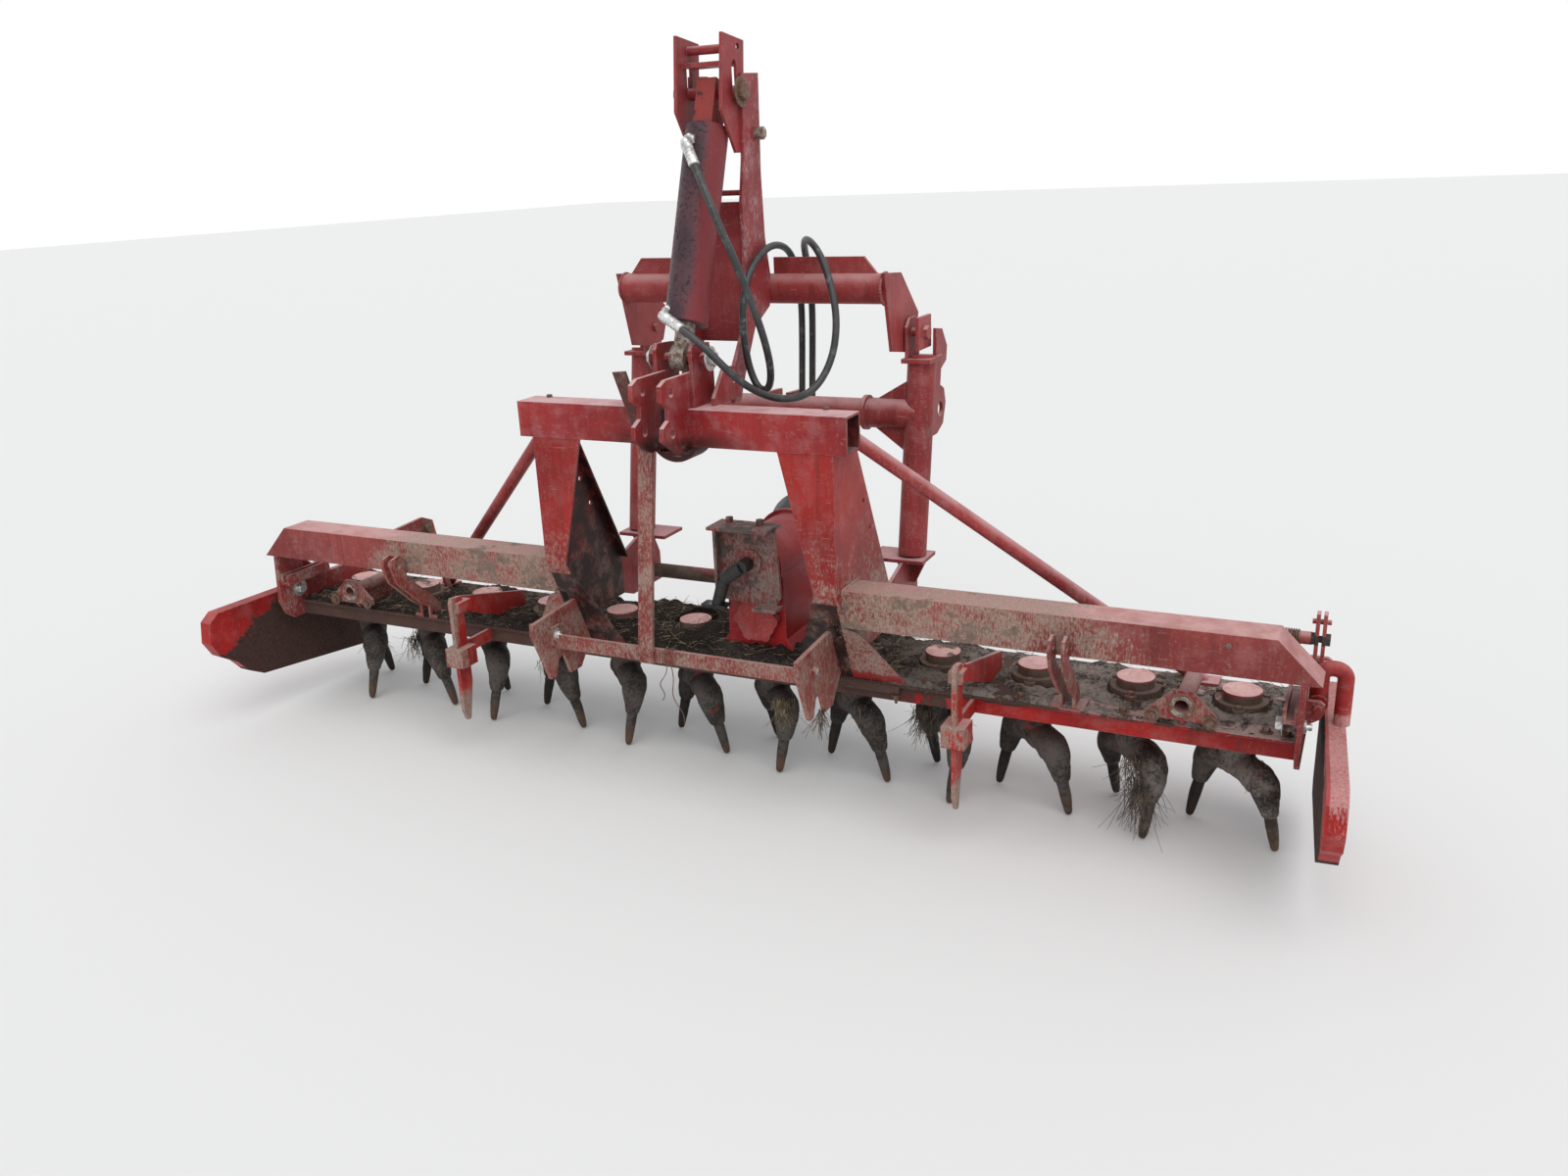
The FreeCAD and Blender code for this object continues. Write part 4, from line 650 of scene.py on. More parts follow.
def bolt(at, way, across=0.016, head=0.009, washer=True, stud=0.0):
    """A washer, a hexagon head with its chamfers and a short end of thread, standing on a point."""
    at, way = np.asarray(at, float), np.asarray(way, float) / np.linalg.norm(way)
    shapes = []
    base = at
    if washer:
        shapes.append(turned_part(at, at + way * 0.0022,
            [(0, across * 0.92), (0.8, across * 0.92), (1, across * 0.86)], 28))
        base = at + way * 0.0022
    shapes.append(turned_part(base, base + way * head,
        [(0, across / 2), (0.15, across / 2), (0.85, across / 2), (1, across * 0.47)], 36, 6))
    if stud:
        top = base + way * head
        shapes.append(turned_part(top, top + way * stud,
            [(0, across * 0.27), (0.8, across * 0.27), (1, across * 0.22)], 16))
    return joined(shapes)


def rusty_steel(name, pale=(0.20, 0.14, 0.11), rust=(0.14, 0.055, 0.025)):
    """Bolt steel gone brown, with patches of orange rust and some grey metal left."""
    made, tree, place = finish(name)
    patch = rise(tree, cloud(tree, place, 75, 7, 0.7), 0.40, 0.60)
    fine = cloud(tree, place, 380, 4)
    colour = blended(tree, times(tree, rise(tree, fine, 0.5, 0.65), 0.5), blended(tree, patch, pale, rust),
        (0.07, 0.045, 0.035))
    dress(tree, colour, scaled(tree, patch, 0.35, 0.5), scaled(tree, patch, -0.6, 0.6), fine, depth=0.0008)
    return made


bolt_steel = rusty_steel("bolt_steel")
deck_bolts = [bolt((x, y, DECK), (0, 0, 1), 0.017, 0.009)
    for x in (-1.488, -1.444, -1.13, -0.62, 0.62, 0.87, 1.12, 1.444, 1.488) for y in (-0.126, 0.126)]
put("deck_bolts", *joined(deck_bolts), "main_frame", bolt_steel, "worn_steel")

# Bearing caps: cast lids over the rotor bearings, red on their discs and muddy round their flanges, each
# held by three bolts. Their discs keep out of the soil because the rain washes them.


def cap_mud(tree, x, y, z):
    """Mud round the flange and little on the disc's face."""
    return scaled(tree, rise(tree, z, 0.3875, 0.3800), 0.50,
        scaled(tree, rise(tree, x, 1.05, 0.55), 0.26, 0.14))


# The caps' faces that look up take a very pale pink: bleached paint, and painted top light as well.
wear(painted("cap_paint", (0.40, 0.06, 0.06), bleach=1.0, dust=0.30, chips=0.9, where=cap_mud,
    crust=(0.17, 0.13, 0.10), film=0.16, film_colour=(0.40, 0.30, 0.26), bleached=(0.86, 0.54, 0.50)),
    "bearing_caps")

# Rotors: twelve cast carriers, each with two curved horns whose sockets hold forged tines. Grey-brown soil
# has dried on them in a thick coat, and the tines' tips are polished and rusty.


def tine_steel():
    """Forged steel worn grey by the soil, dark with damp earth below the socket, orange with rust at the
    tip, and painted nearly black as shade on the tines ahead of the rotors' axes, under the trough."""
    made, tree, place = finish("tine_steel", 0.25)
    x, y, z = axes(tree, place)
    patch = cloud(tree, place, 34, 7, 0.7)
    soil = rise(tree, patch, 0.44, 0.56)
    colour = blended(tree, soil, (0.082, 0.072, 0.065), (0.036, 0.029, 0.025))
    rust = times(tree, rise(tree, scaled(tree, patch, -0.10, z), 0.040, -0.030),
        rise(tree, cloud(tree, place, 12, 3), 0.35, 0.55))
    colour = blended(tree, times(tree, rust, 0.65), colour, (0.150, 0.078, 0.045))
    # Painted shade: the tines ahead of the rotors' axes, under the trough, are darkened nearly to black.
    colour = blended(tree, times(tree, rise(tree, y, 0.0, 0.05), 0.78), colour, (0.011, 0.010, 0.010))
    dress(tree, colour, scaled(tree, soil, 0.3, 0.5), scaled(tree, soil, -0.35, 0.35),
        cloud(tree, place, 120, 6, 0.7), depth=0.0014)
    return made


def rotor_earth():
    """Earth on the castings, paler at the right end, with red paint left in a few places."""
    made, tree, place = finish("rotor_earth", 0.15)
    x, y, z = axes(tree, place)
    dry = blended(tree, rise(tree, x, 0.90, 1.45), (0.108, 0.092, 0.082), (0.215, 0.185, 0.165))
    earth = shader(tree, "Group", node_tree=EARTH_GROUP, Dry=dry, Wet=(0.032, 0.026, 0.022), Wetness=0.42,
        Straw=0.1).outputs
    bare = rise(tree, cloud(tree, place, 13, 5, 0.6), 0.63, 0.70)
    red = blended(tree, rise(tree, cloud(tree, place, 60, 5), 0.4, 0.6), (0.12, 0.022, 0.018),
        (0.22, 0.045, 0.036))
    colour = blended(tree, bare, earth["Color"], red)
    # Painted shade: the castings ahead of the rotors' axes, under the trough, are darkened.
    colour = blended(tree, times(tree, rise(tree, y, 0.0, 0.06), 0.55), colour, (0.013, 0.011, 0.010))
    dress(tree, colour, scaled(tree, bare, -0.25, earth["Roughness"]), height=earth["Height"], strength=0.7,
        depth=0.0026)
    return made


HORN_LINE = np.array([(-16, 0, 196, 34), (4, 0, 196, 35), (30, 0, 196, 36), (56, 0, 194, 37.5),
    (80, 1, 188, 39), (97, 4, 174, 37), (104, 7, 152, 32), (107, 12, 130, 27.5), (108.5, 16, 112, 23.5),
    (109.2, 18, 101, 20.5), (109.3, 18.2, 98.5, 18.0)]) / 1000
TINE_LINE = np.array([(108.9, 17, 106, 14), (109.4, 18.5, 98, 15.6), (110.5, 23, 80, 15.2),
    (112, 28.5, 55, 14.4), (113, 33.5, 30, 12.6), (113.6, 37, 12, 10.5), (113.8, 38.6, 4, 8),
    (113.9, 39.2, 1.6, 4.2)]) / 1000


def limb(line, turn, trail, seed, rows, sides, coat_depth):
    """A round section carried along a line that is given as distance out from the rotor's axis, distance
    round it, height and radius; trail says which way round, and the radius swells and shrinks with the soil
    on it."""
    length = np.concatenate([[0], np.cumsum(np.linalg.norm(np.diff(line[:, :3], axis=0), axis=1))])
    steps = np.linspace(0, length[-1], rows)
    blur = np.array([0.25, 0.5, 0.25])
    out, round_it, z, radius = (np.interp(steps, length, line[:, column]) for column in range(4))
    for values in (out, round_it, z):
        values[1:-1] = np.convolve(values, blur, "valid")
    path = np.stack([out, trail * round_it, z], -1)
    angle = around(sides)
    u, v = np.meshgrid(steps, angle, indexing="ij")
    coat = lumps(u + seed, np.sin(v) * 0.03 + 0.01 * np.cos(v), 0.035, 4, seed) * coat_depth
    coat *= np.clip((z[:, None] - 0.004) / 0.05, 0, 1)
    points, faces = carried(path, radius[:, None] * (1 + coat), sides)
    turn_by = np.array([[math.cos(turn), -math.sin(turn), 0], [math.sin(turn), math.cos(turn), 0],
        [0, 0, 1]])
    return points @ turn_by.T, faces


rotor_finish = rotor_earth()
tine_finish = tine_steel()
HUB_RINGS = [(0, 0.020), (0.03, 0.034), (0.12, 0.041), (0.55, 0.049), (0.76, 0.053), (0.86, 0.050),
    (0.88, 0.032), (1, 0.030)]
for number in range(1, 13):
    trail = 1 if number % 2 == 0 else -1
    here = np.array([caps_at[number - 1], 0, 0])
    castings, tines = [turned_part((0, 0, 0.190), (0, 0, 0.322), HUB_RINGS, 40)], []
    for turn, seed in ((math.radians(-45), number * 7 + 1), (math.radians(135), number * 7 + 4)):
        castings.append(limb(HORN_LINE, turn, trail, seed, 52, 28, 0.13))
        tines.append(limb(TINE_LINE, turn, trail, seed + 2, 34, 20, 0.09))
    casting_points, casting_faces = joined(castings)
    rotor = put("horned_carrier_%02d" % number, casting_points + here, casting_faces,
        "spinner_%02d" % number, rotor_finish, "cast_iron")
    tine_points, tine_faces = joined(tines)
    tine_pair = put("forged_tines_%02d" % number, tine_points + here, tine_faces, "spinner_%02d" % number,
        tine_finish, "cast_iron")
    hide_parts("rotor_%02d" % number)

# Roots and grass: stringy clumps of roots and stubble, dark and damp or dry as straw, which have wound
# round the rotors and hang from the knives and brackets. Each clump is a bundle of thin stalks that fall
# from one place.
CLUMPS = [("spinner_09", (0.588, -0.030, 0.222), 0.030, 0.085, 110),
    ("spinner_09", (0.560, 0.020, 0.190), 0.022, 0.060, 60),
    ("spinner_07", (0.196, -0.100, 0.215), 0.024, 0.065, 90),
    ("spinner_01", (-1.330, -0.045, 0.205), 0.030, 0.070, 80),
    ("spinner_02", (-1.160, -0.040, 0.215), 0.028, 0.075, 80),
    ("spinner_04", (-0.640, -0.050, 0.212), 0.022, 0.050, 50),
    ("spinner_11", (1.166, -0.108, 0.150), 0.034, 0.105, 150),
    ("spinner_11", (1.150, -0.085, 0.205), 0.026, 0.080, 80),
    ("spinner_08", (0.425, -0.060, 0.216), 0.024, 0.050, 50),
    ("spinner_12", (1.418, -0.060, 0.228), 0.024, 0.045, 40),
    ("main_frame", (0.391, -0.275, 0.292), 0.012, 0.060, 40),
    ("main_frame", (0.752, -0.262, 0.330), 0.018, 0.060, 40),
    ("main_frame", (-0.757, -0.262, 0.330), 0.016, 0.055, 30)]
for number, (body, at, spread, reach, count) in enumerate(CLUMPS, 1):
    chance = np.random.default_rng(60 + number)
    starts = np.array(at) + chance.normal(size=(count, 3)) * (spread, spread, spread * 0.6) * 0.5
    ways = chance.normal(size=(count, 3)) * (0.34, 0.34, 0.25) + (0, 0, -1.0)
    ways /= np.linalg.norm(ways, axis=1)[:, None]
    put("root_clump_%02d" % number, *strands(count, starts, ways, chance.uniform(0.4, 1.0, count) * reach,
        0.0011, 0.25, 90 + number, 3, 6, 0.5), body, roots if number % 3 else straw, "cast_iron")

# Main beams and end plates: square tubes with mitred ends and the plates that carry them, welded and
# painted. Mud lies over the beams' rear faces from the portal outwards and thins out towards the ends.


def beam_mud(tree, x, y, z):
    """Mud on the inner two thirds, most on the lower part, least above and at the outer ends."""
    out = rise(tree, maths(tree, "ADD", maths(tree, "ABSOLUTE", x), scaled(tree, z, 1.6, -0.96)), 1.22,
        0.86)
    return scaled(tree, out, 0.30, 0.05)


def beam_film(tree, x, y, z):
    """A thin coat of splashed mud over the inner two thirds of the faces, which ends in a slanting ragged
    edge."""
    ragged = cloud(tree, shader(tree, "CombineXYZ", X=x, Y=y, Z=z).outputs[0], 11, 8, 0.75)
    out = scaled(tree, z, 1.1, scaled(tree, ragged, 0.55, maths(tree, "ABSOLUTE", x)))
    return scaled(tree, rise(tree, out, 2.14, 1.90), 0.60, 0.02)


wear(painted("beam_paint", (0.33, 0.058, 0.052), bleach=0.85, dust=0.25, chips=0.35, where=beam_mud,
    film_where=beam_film, crust=(0.300, 0.215, 0.165), film_colour=(0.340, 0.245, 0.190),
    bleached=(0.62, 0.36, 0.34)), "main_beam")
wear(painted("end_paint", (0.33, 0.040, 0.036), mud=0.18, bleach=0.8, dust=0.25, chips=0.6, film=0.36,
    crust=(0.22, 0.16, 0.125), film_colour=(0.34, 0.24, 0.20)), "end_plate")


def lever_paint():
    """Salmon flats, with the spring rod, its spring and its nuts left in dark steel."""
    made = painted("lever_paint", (0.42, 0.075, 0.065), mud=0.05, bleach=0.9, dust=0.35, chips=0.7,
        film=0.18, film_colour=(0.50, 0.28, 0.25), bleached=(0.60, 0.34, 0.32))
    tree = made.node_tree
    colour = tree.nodes["Principled BSDF"].inputs["Base Color"]
    x, y, z = axes(tree, place_of(tree))
    off = maths(tree, "SQRT", maths(tree, "ADD", maths(tree, "POWER", maths(tree, "ADD", y, 0.054), 2.0),
        maths(tree, "POWER", maths(tree, "ADD", z, -0.556), 2.0)))
    flats = times(tree, rise(tree, x, 1.4905, 1.4925), rise(tree, x, 1.5160, 1.5150))
    steel = times(tree, rise(tree, off, 0.0185, 0.0175), maths(tree, "SUBTRACT", 1.0, flats))
    linked(tree, colour, blended(tree, steel, colour.links[0].from_socket, (0.060, 0.050, 0.045)))
    return made


wear(lever_paint(), "end_lever")

# Portal: two legs folded from sheet steel, with flared feet, carry an open rectangular crossbeam. The hitch
# plates, the cylinder's foot and the bars behind the gearbox are welded to it, and oil has run down in the
# middle.


def leg_mud(tree, x, y, z):
    """Mud on the flared feet, thrown up in streaks above them."""
    return scaled(tree, rise(tree, z, 0.62, 0.44), 0.16, 0.08)


def leg_film(tree, x, y, z):
    """Splashes over the feet that thin out upwards along the outer faces, and a clean strip above the
    deck."""
    up = rise(tree, z, 0.86, 0.46)
    return times(tree, scaled(tree, up, 0.50, 0.12), rise(tree, z, 0.352, 0.372))


def leg_inside(tree, x, y, z):
    """The inside of the folded channels, darkened as painted shade and black with old splashes."""
    return times(tree, rise(tree, maths(tree, "ABSOLUTE", x), 0.4310, 0.4298),
        rise(tree, y, -0.2530, -0.2500))


wear(painted("leg_paint", (0.38, 0.024, 0.020), bleach=0.6, dust=0.22, chips=0.3, where=leg_mud,
    film_where=leg_film, crust=(0.27, 0.20, 0.155), film_colour=(0.34, 0.25, 0.20), grime_and_shade_where=leg_inside),
    "portal_leg")


def oil_and_tube_shade(tree, x, y, z):
    """Oil that has run down round the hitch plates to the crossbeam's lower edge, and painted shade inside
    the tube."""
    near = times(tree, rise(tree, maths(tree, "ABSOLUTE", x), 0.30, 0.04), rise(tree, z, 1.008, 0.966))
    # The hollow term is painted shade: the inside of the open crossbeam tube is darkened.
    hollow = times(tree, rise(tree, maths(tree, "ABSOLUTE", maths(tree, "ADD", y, 0.222)), 0.0370, 0.0358),
        rise(tree, maths(tree, "ABSOLUTE", maths(tree, "ADD", z, -1.006)), 0.0420, 0.0408))
    return maths(tree, "MAXIMUM", times(tree, near, 0.9), hollow)


wear(painted("crossbeam_paint", (0.36, 0.027, 0.028), mud=0.03, bleach=0.95, dust=0.12, chips=0.75,
    bleached=(0.66, 0.43, 0.43), grime_and_shade_where=oil_and_tube_shade), "portal_crossbeam", "rear_hitch_plates",
    "cylinder_foot", "lock_lugs")
wear(painted("greasy_paint", (0.020, 0.011, 0.011), mud=0.2, bleach=0.2, dust=0.05, chips=0.9,
    crust=(0.025, 0.020, 0.018), bleached=(0.04, 0.025, 0.024)), "beam_saddle")
wear(painted("bar_paint", (0.30, 0.060, 0.052), mud=0.20, bleach=0.7, dust=0.3, chips=0.6, film=0.50,
    crust=(0.27, 0.195, 0.150), film_colour=(0.33, 0.235, 0.185), bleached=(0.48, 0.30, 0.27)),
    "tie_brackets", "rear_tie_bar", "middle_stay")
wear(painted("old_brown_paint", (0.10, 0.045, 0.035), mud=0.15, bleach=0.5, dust=0.3, chips=0.9, film=0.30,
    crust=(0.14, 0.105, 0.08), film_colour=(0.16, 0.12, 0.095), bleached=(0.24, 0.17, 0.14)), "hitch_lever")

# Roller lugs, roller pivots and marker knives: steel plates and flats, welded and bolted along the trough's
# rear edge. The knives are wedged in their clamps, scoured red where the soil rubs past them and muddy
# elsewhere.
wear(painted("lug_paint", (0.32, 0.040, 0.034), mud=0.18, bleach=0.8, dust=0.3, chips=0.7, film=0.44,
    crust=(0.22, 0.16, 0.125), film_colour=(0.30, 0.215, 0.170), bleached=(0.54, 0.33, 0.31)),
    "roller_lugs", "roller_pivots", "front_lug")


def knife_film(tree, x, y, z):
    """Mud on the blades' lower third and over the flat clamps, thin between them."""
    tip = rise(tree, z, 0.215, 0.135)
    clamp = times(tree, rise(tree, z, 0.262, 0.276), rise(tree, y, -0.285, -0.300))
    return scaled(tree, maths(tree, "MAXIMUM", tip, times(tree, clamp, 0.7)), 0.55, 0.24)


wear(painted("knife_paint", (0.42, 0.022, 0.018), mud=0.10, bleach=0.9, dust=0.25, chips=0.6,
    film_where=knife_film, crust=(0.25, 0.19, 0.15), film_colour=(0.32, 0.25, 0.20),
    bleached=(0.55, 0.34, 0.31)), "marker_knives")

# Gearbox: a cast housing on the trough with its change gear cover, a sheet bracket with a greasy elbow
# behind it and a guard in front.
wear(painted("gearbox_paint", (0.44, 0.012, 0.014), mud=0.14, bleach=0.35, dust=0.10, chips=0.4,
    crust=(0.17, 0.12, 0.10)), "gearbox_housing")
wear(painted("bracket_paint", (0.26, 0.035, 0.030), mud=0.42, bleach=0.6, dust=0.4, chips=0.6, film=0.60,
    crust=(0.125, 0.098, 0.085), film_colour=(0.21, 0.160, 0.140), bleached=(0.34, 0.22, 0.19)),
    "gearbox_bracket")
wear(painted("cover_paint", (0.44, 0.050, 0.044), mud=0.22, bleach=0.6, dust=0.35, chips=0.6, film=0.22,
    crust=(0.24, 0.17, 0.14), film_colour=(0.42, 0.22, 0.19)), "change_gear_cover")


def greasy_metal():
    """Metal under old grease: nearly black, glossy where wet, with grit in it."""
    made, tree, place = finish("greasy_metal")
    wet = rise(tree, cloud(tree, place, 45, 6, 0.7), 0.42, 0.6)
    dress(tree, blended(tree, wet, (0.028, 0.024, 0.022), (0.008, 0.008, 0.009)),
        scaled(tree, wet, -0.5, 0.75), height=cloud(tree, place, 90, 6), strength=0.6, depth=0.002)
    return made


def moulded_plastic():
    """Black moulded plastic, faded and dusty."""
    made, tree, place = finish("moulded_plastic")
    dust = rise(tree, cloud(tree, place, 16, 7, 0.68), 0.45, 0.7)
    dress(tree, blended(tree, times(tree, dust, 0.3), (0.010, 0.010, 0.011), (0.10, 0.09, 0.08)),
        scaled(tree, dust, 0.3, 0.45))
    return made


grease = greasy_metal()
wear(grease, "oil_elbow")
wear(moulded_plastic(), "pto_guard")
bare_steel = rusty_steel("bare_steel", (0.42, 0.38, 0.34), (0.16, 0.08, 0.05))
wear(bare_steel, "pto_shaft", "lower_link_pins", "mast_bolts", "cylinder_rod")

# Front posts, cross tube, braces and lower bar: steel tubes welded into the hitch frame on the tractor's
# side. Their upper sides are bleached and painted lighter as top light, and the low bar behind the trough
# is under mud.
wear(painted("post_paint", (0.36, 0.045, 0.046), mud=0.10, bleach=0.95, dust=0.30, chips=0.5,
    bleached=(0.56, 0.31, 0.31)), "front_post", "front_cross_tube", "side_brace", "post_gussets")
wear(painted("low_bar_paint", (0.22, 0.07, 0.06), mud=0.62, bleach=0.3, dust=0.6, chips=0.5,
    crust=(0.17, 0.135, 0.105)), "lower_hitch_bar")

# Lift frame and mast: a ridge tube between two end plates, and tall flame-cut plates with a web and a head,
# welded to it. They hold the cylinder's upper pin, and the whole turns on the posts' pivot bolts.
wear(painted("lift_paint", (0.33, 0.042, 0.042), mud=0.03, bleach=0.9, dust=0.16, chips=0.5,
    bleached=(0.48, 0.24, 0.23)), "lift_")


def mast_film(tree, x, y, z):
    """A pale bloom over the plates' outer faces and none over the web between them."""
    return times(tree, rise(tree, maths(tree, "ABSOLUTE", x), 0.066, 0.070), 0.34)


wear(painted("mast_paint", (0.32, 0.040, 0.043), mud=0.0, bleach=0.9, dust=0.10, chips=0.5,
    film_where=mast_film, crust=(0.42, 0.25, 0.27), bleached=(0.48, 0.21, 0.21)), "mast_side", "mast_web",
    "mast_head")

# Lift cylinder: a barrel of drawn tube with a welded eye block and two plated ports, which hangs from the
# mast's head pin. Its rod stands on the pin in the crossbeam's foot.


def barrel_paint():
    """Faded purple-brown paint with dark pocks on the rear, red on the right side and on the eye block at
    the top, whose height is measured along the cylinder."""
    made, tree, place = finish("barrel_paint", 0.3)
    x, y, z = axes(tree, place)
    red_side = rise(tree, scaled(tree, cloud(tree, place, 12, 5), 0.03, x), 0.030, 0.058)
    pocks = rise(tree, cloud(tree, place, 110, 6, 0.7), 0.52, 0.60)
    broad = rise(tree, cloud(tree, place, 8, 5), 0.38, 0.62)
    dull = blended(tree, broad, (0.050, 0.024, 0.032), (0.098, 0.040, 0.048))
    dull = blended(tree, times(tree, pocks, 0.8), dull, (0.018, 0.012, 0.016))
    eye = rise(tree, scaled(tree, y, 0.344, times(tree, z, 0.939)), 1.6140, 1.6175)
    oily = rise(tree, cloud(tree, place, 22, 6, 0.7), 0.58, 0.66)
    eye_red = blended(tree, oily, (0.30, 0.045, 0.038), (0.030, 0.016, 0.016))
    colour = blended(tree, eye, blended(tree, red_side, dull, (0.20, 0.030, 0.034)), eye_red)
    chip = rise(tree, cloud(tree, place, 30, 8, 0.72), 0.68, 0.70)
    dress(tree, blended(tree, chip, colour, (0.46, 0.09, 0.06)), scaled(tree, pocks, 0.25, 0.42),
        height=cloud(tree, place, 160, 4), strength=0.4, depth=0.0008)
    return made


wear(barrel_paint(), "cylinder_barrel")

# Side shields: rimmed sheets hung from bent tubes at both ends. Their inner faces are under dark earth, and
# the rims are bleached, which on their upward faces is partly painted top light.


def skin_depth(tree, x, y):
    """How far a point lies outside the inner face of the toed-in skin, in metres."""
    return maths(tree, "ADD", maths(tree, "ABSOLUTE", x), scaled(tree, y, 0.0699, -1.5562))


def shield_mud(tree, x, y, z):
    """Earth over the inner faces' lower part and along the rims' bottom edge."""
    inner = rise(tree, skin_depth(tree, x, y), 0.0026, 0.0012)
    back = rise(tree, scaled(tree, y, -0.55, z), 0.56, 0.40)
    low_edge = rise(tree, scaled(tree, cloud(tree, place_of(tree), 30, 4), 0.02, z), 0.186, 0.170)
    return maths(tree, "MAXIMUM", scaled(tree, times(tree, inner, back), 0.80, 0.08), low_edge)


def shield_film(tree, x, y, z):
    """A pale bloom over the upper half of the right shield's rim, which fades to clean red below."""
    outer = times(tree, rise(tree, skin_depth(tree, x, y), 0.006, 0.009), rise(tree, x, 1.0, 1.1))
    fade = times(tree, rise(tree, z, 0.200, 0.440), rise(tree, z, 0.412, 0.392))
    return times(tree, times(tree, outer, fade), 0.95)


wear(painted("shield_paint", (0.38, 0.016, 0.013), bleach=0.25, dust=0.10, chips=0.35, where=shield_mud,
    film_where=shield_film, crust=(0.017, 0.0135, 0.0115), bleached=(0.60, 0.28, 0.27),
    film_colour=(0.58, 0.25, 0.245)), "side_shield", "shield_arm")

# Loose hardware: zinc-plated and rusty nuts and bolts, a coil spring, weld beads and a twist of old wire,
# of plain steel. They hold the pieces above together, but the wire has only caught on the rear bar.
hardware_zinc = [bolt((1.512, -0.150, 0.379), (1, 0, 0), 0.030, 0.014, stud=0.012),
    bolt((1.4795, -0.150, 0.379), (-1, 0, 0), 0.030, 0.014),
    bolt((0.4065, -0.326, 0.423), (1, 0, 0), 0.017, 0.004, washer=False),
    bolt((-0.3765, -0.326, 0.423), (1, 0, 0), 0.020, 0.009, stud=0.006),
    bolt((-1.5115, -0.158, 0.383), (1, 0, 0), 0.030, 0.014),
    bolt((0.0805, -0.192, 1.170), (1, 0, 0), 0.034, 0.014),
    bolt((-0.0805, -0.192, 1.170), (-1, 0, 0), 0.034, 0.014)]
put("zinc_bolts", *joined(hardware_zinc), "main_frame", plated, "worn_steel")
hardware_rusty = [bolt((side * (1.262 + shift), -0.190, 0.374), (0, -1, 0), 0.019, 0.008)
    for side in (1, -1) for shift in (-0.065, 0.065)]
hardware_rusty += [bolt((0.389, -0.183, 1.053), (0, 0, 1), 0.015, 0.007, washer=False),
    bolt((-0.422, -0.190, 1.053), (0, 0, 1), 0.015, 0.007, washer=False),
    bolt((1.358, -0.229, 0.581), (0, -1, 0), 0.013, 0.002, washer=False),
    bolt((-1.095, 0.008, 0.575), (1, 0, 0), 0.026, 0.010)]
put("rusty_bolts", *joined(hardware_rusty), "main_frame", bolt_steel, "worn_steel")
pivot_rings = []
for side in (1, -1):
    middle = side * 1.262
    angle = around(40)
    for radius, wire, y in ((0.0235, 0.0040, -0.1905), (0.0190, 0.0030, -0.1890)):
        loop = np.stack([middle + radius * np.cos(angle), angle * 0 + y, 0.404 + radius * np.sin(angle)],
            -1)
        section = around(8)
        out = np.stack([np.cos(angle), angle * 0, np.sin(angle)], -1)
        rings = loop[:, None, :] + out[:, None, :] * np.cos(section)[None, :, None] * wire
        rings[:, :, 1] += np.sin(section)[None, :] * wire
        points = rings.reshape(-1, 3)
        corners = np.array(grid_faces(41, 8)) % len(points)
        pivot_rings.append((points, corners.tolist()))
put("pivot_rings", *joined(pivot_rings), "main_frame", bare_steel, "worn_steel")
put("mast_pin_nuts", *joined([bolt((side * 0.0845, 0.038, 1.798), (side, 0, 0), 0.040, 0.013)
    for side in (1, -1)]), "lift_frame", bolt_steel, "worn_steel")


def coil(start, end, radius, wire, turns, per_turn=22, sides=8):
    """A helix of round wire about a line: the path goes along the line and round it at a steady radius."""
    start, end = np.array(start, float), np.array(end, float)
    share = np.linspace(0, 1, int(turns * per_turn))
    angle = share * turns * 2 * math.pi
    return carried(np.stack([start[0] + (end[0] - start[0]) * share, start[1] + radius * np.cos(angle),
        start[2] + radius * np.sin(angle)], -1), wire, sides)


put("lever_spring", *coil((1.4445, -0.054, 0.556), (1.494, -0.054, 0.556), 0.0165, 0.0024, 9), "main_frame",
    bolt_steel, "worn_steel")


def weld(points, radius=0.0035, seed=1):
    """A weld bead along corner points: a half-sunk cord whose radius ripples every 4 mm."""
    points = np.array(points, float)
    length = np.concatenate([[0], np.cumsum(np.linalg.norm(np.diff(points, axis=0), axis=1))])
    steps = np.arange(0, length[-1], 0.0016)
    path = np.stack([np.interp(steps, length, points[:, axis]) for axis in range(3)], -1)
    ripple = 1 + 0.16 * np.sin(steps / 0.004 * 2 * math.pi) + 0.3 * lumps(steps + seed, steps * 0 + seed,
        0.02, 3, seed)
    return carried(path, radius * ripple, 8)


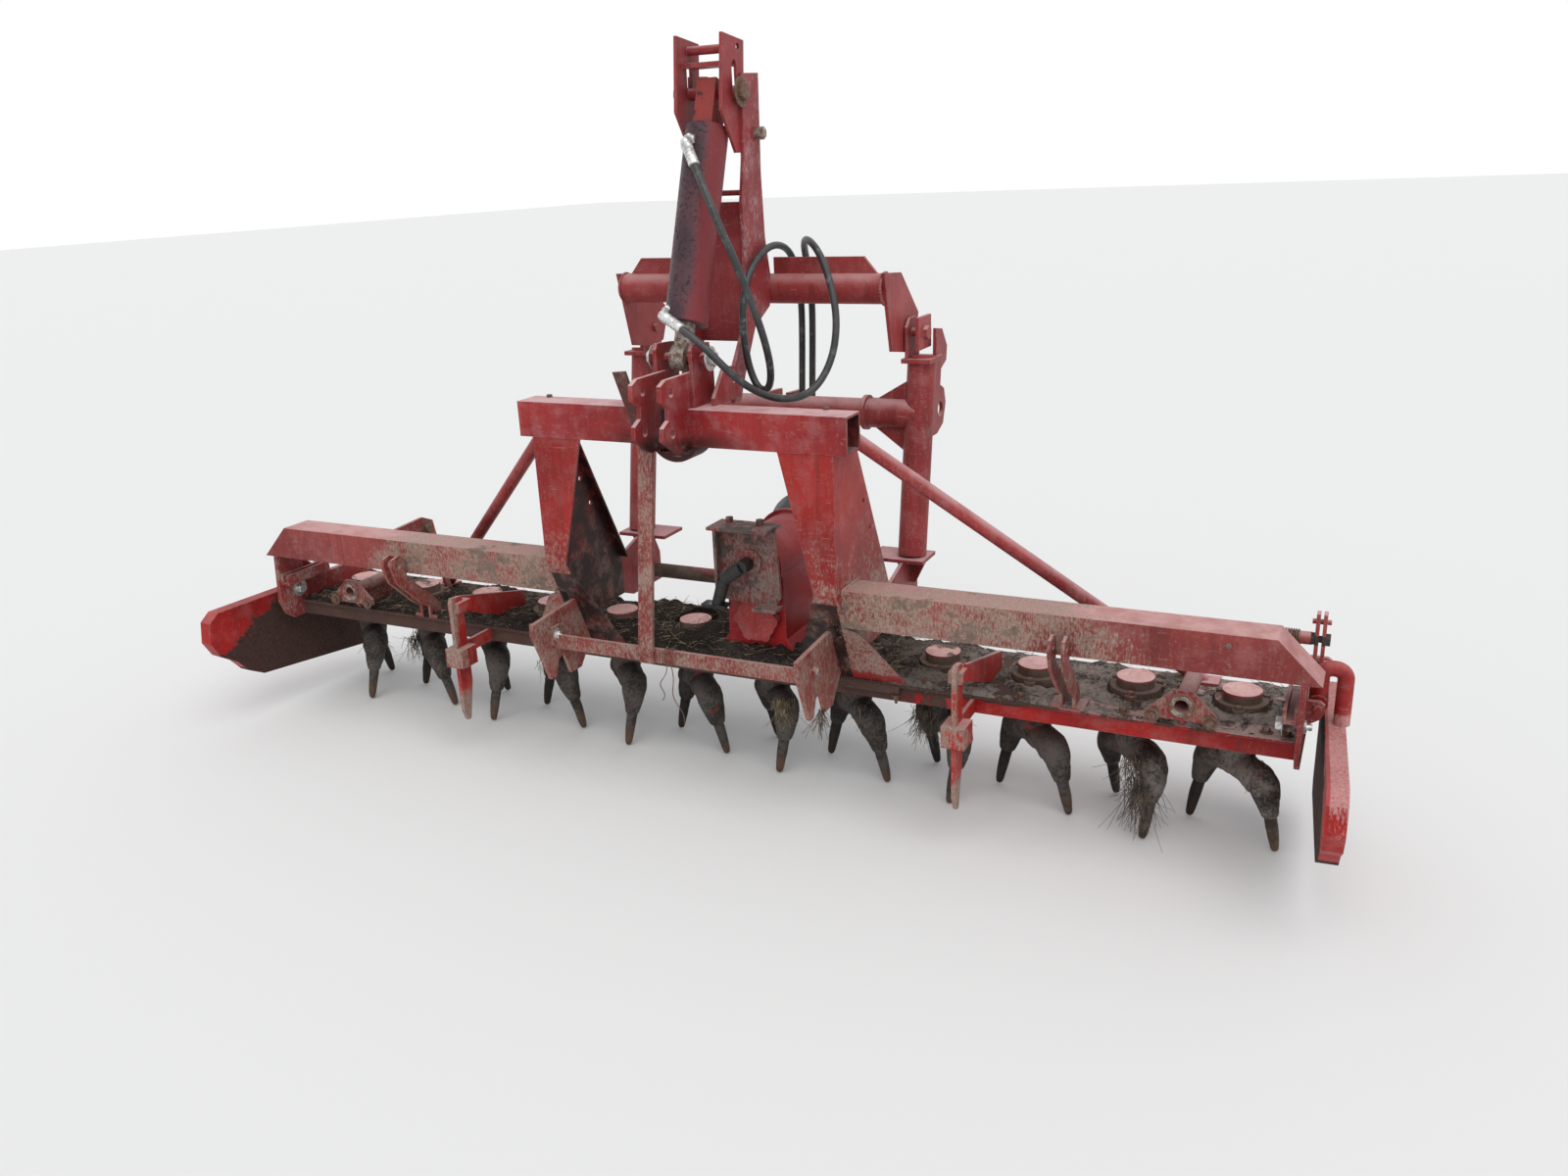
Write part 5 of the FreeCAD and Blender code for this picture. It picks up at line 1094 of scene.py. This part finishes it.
def ring_line(x, y, z, radius):
    """A circle about a line along X."""
    angle = np.linspace(0, 2 * math.pi, 49)
    return np.stack([angle * 0 + x, y + radius * np.cos(angle), z + radius * np.sin(angle)], -1)


beam_welds = [weld([(side * 0.4385, -0.131, 0.608), (side * 0.4385, -0.230, 0.608),
    (side * 0.4385, -0.230, 0.508)], seed=3 + side) for side in (1, -1)]
put("beam_welds", *joined(beam_welds), "main_frame", bpy.data.materials["beam_paint"], "red_paint")
put("ridge_welds", *joined([weld(ring_line(side * 0.3985, 0.200, 1.302, 0.0405), 0.004, 8 + side)
    for side in (1, -1)]), "lift_frame", bpy.data.materials["lift_paint"], "red_paint")
loops = []
for turn in range(4):
    x = -0.030 + 0.011 * turn
    angle = np.linspace(0, 2 * math.pi, 30)
    loops.append(carried(np.stack([x + 0.006 * np.sin(angle + turn),
        -0.331 + 0.0135 * np.sign(np.cos(angle)) * np.abs(np.cos(angle)) ** 0.5,
        0.4065 + 0.0235 * np.sign(np.sin(angle)) * np.abs(np.sin(angle)) ** 0.5], -1), 0.0013, 6))
for x, reach, lean in ((-0.004, 0.17, 0.02), (-0.016, 0.11, -0.03)):
    share = np.linspace(0, 1, 24)
    loops.append(carried(np.stack([x + lean * share + 0.006 * np.sin(share * 9),
        -0.348 - 0.010 * np.sin(share * 5), 0.392 - reach * share], -1), 0.0013, 6))
put("old_wire", *joined(loops), "main_frame", bolt_steel, "worn_steel")
strip = np.array([(x, y, z) for x in (0.379, 0.562)
    for y, z in ((-0.1660, 0.3180), (-0.1585, 0.3165), (-0.1585, 0.3395), (-0.1650, 0.3380))])
lip_strip = put("lip_strip", strip, [(3, 2, 1, 0), (4, 5, 6, 7), (1, 5, 4, 0), (2, 6, 5, 1), (3, 7, 6, 2),
    (0, 4, 7, 3)], "main_frame", trough_paint, "red_paint", smooth=False)
rounding = lip_strip.modifiers.new("rounded_edges", "BEVEL")
rounding.width = 0.0018
rounding.segments = 3
put("strip_bolt", *bolt((0.552, -0.162, 0.316), (0, 0, -1), 0.014, 0.012, stud=0.010), "main_frame",
    bolt_steel, "worn_steel")
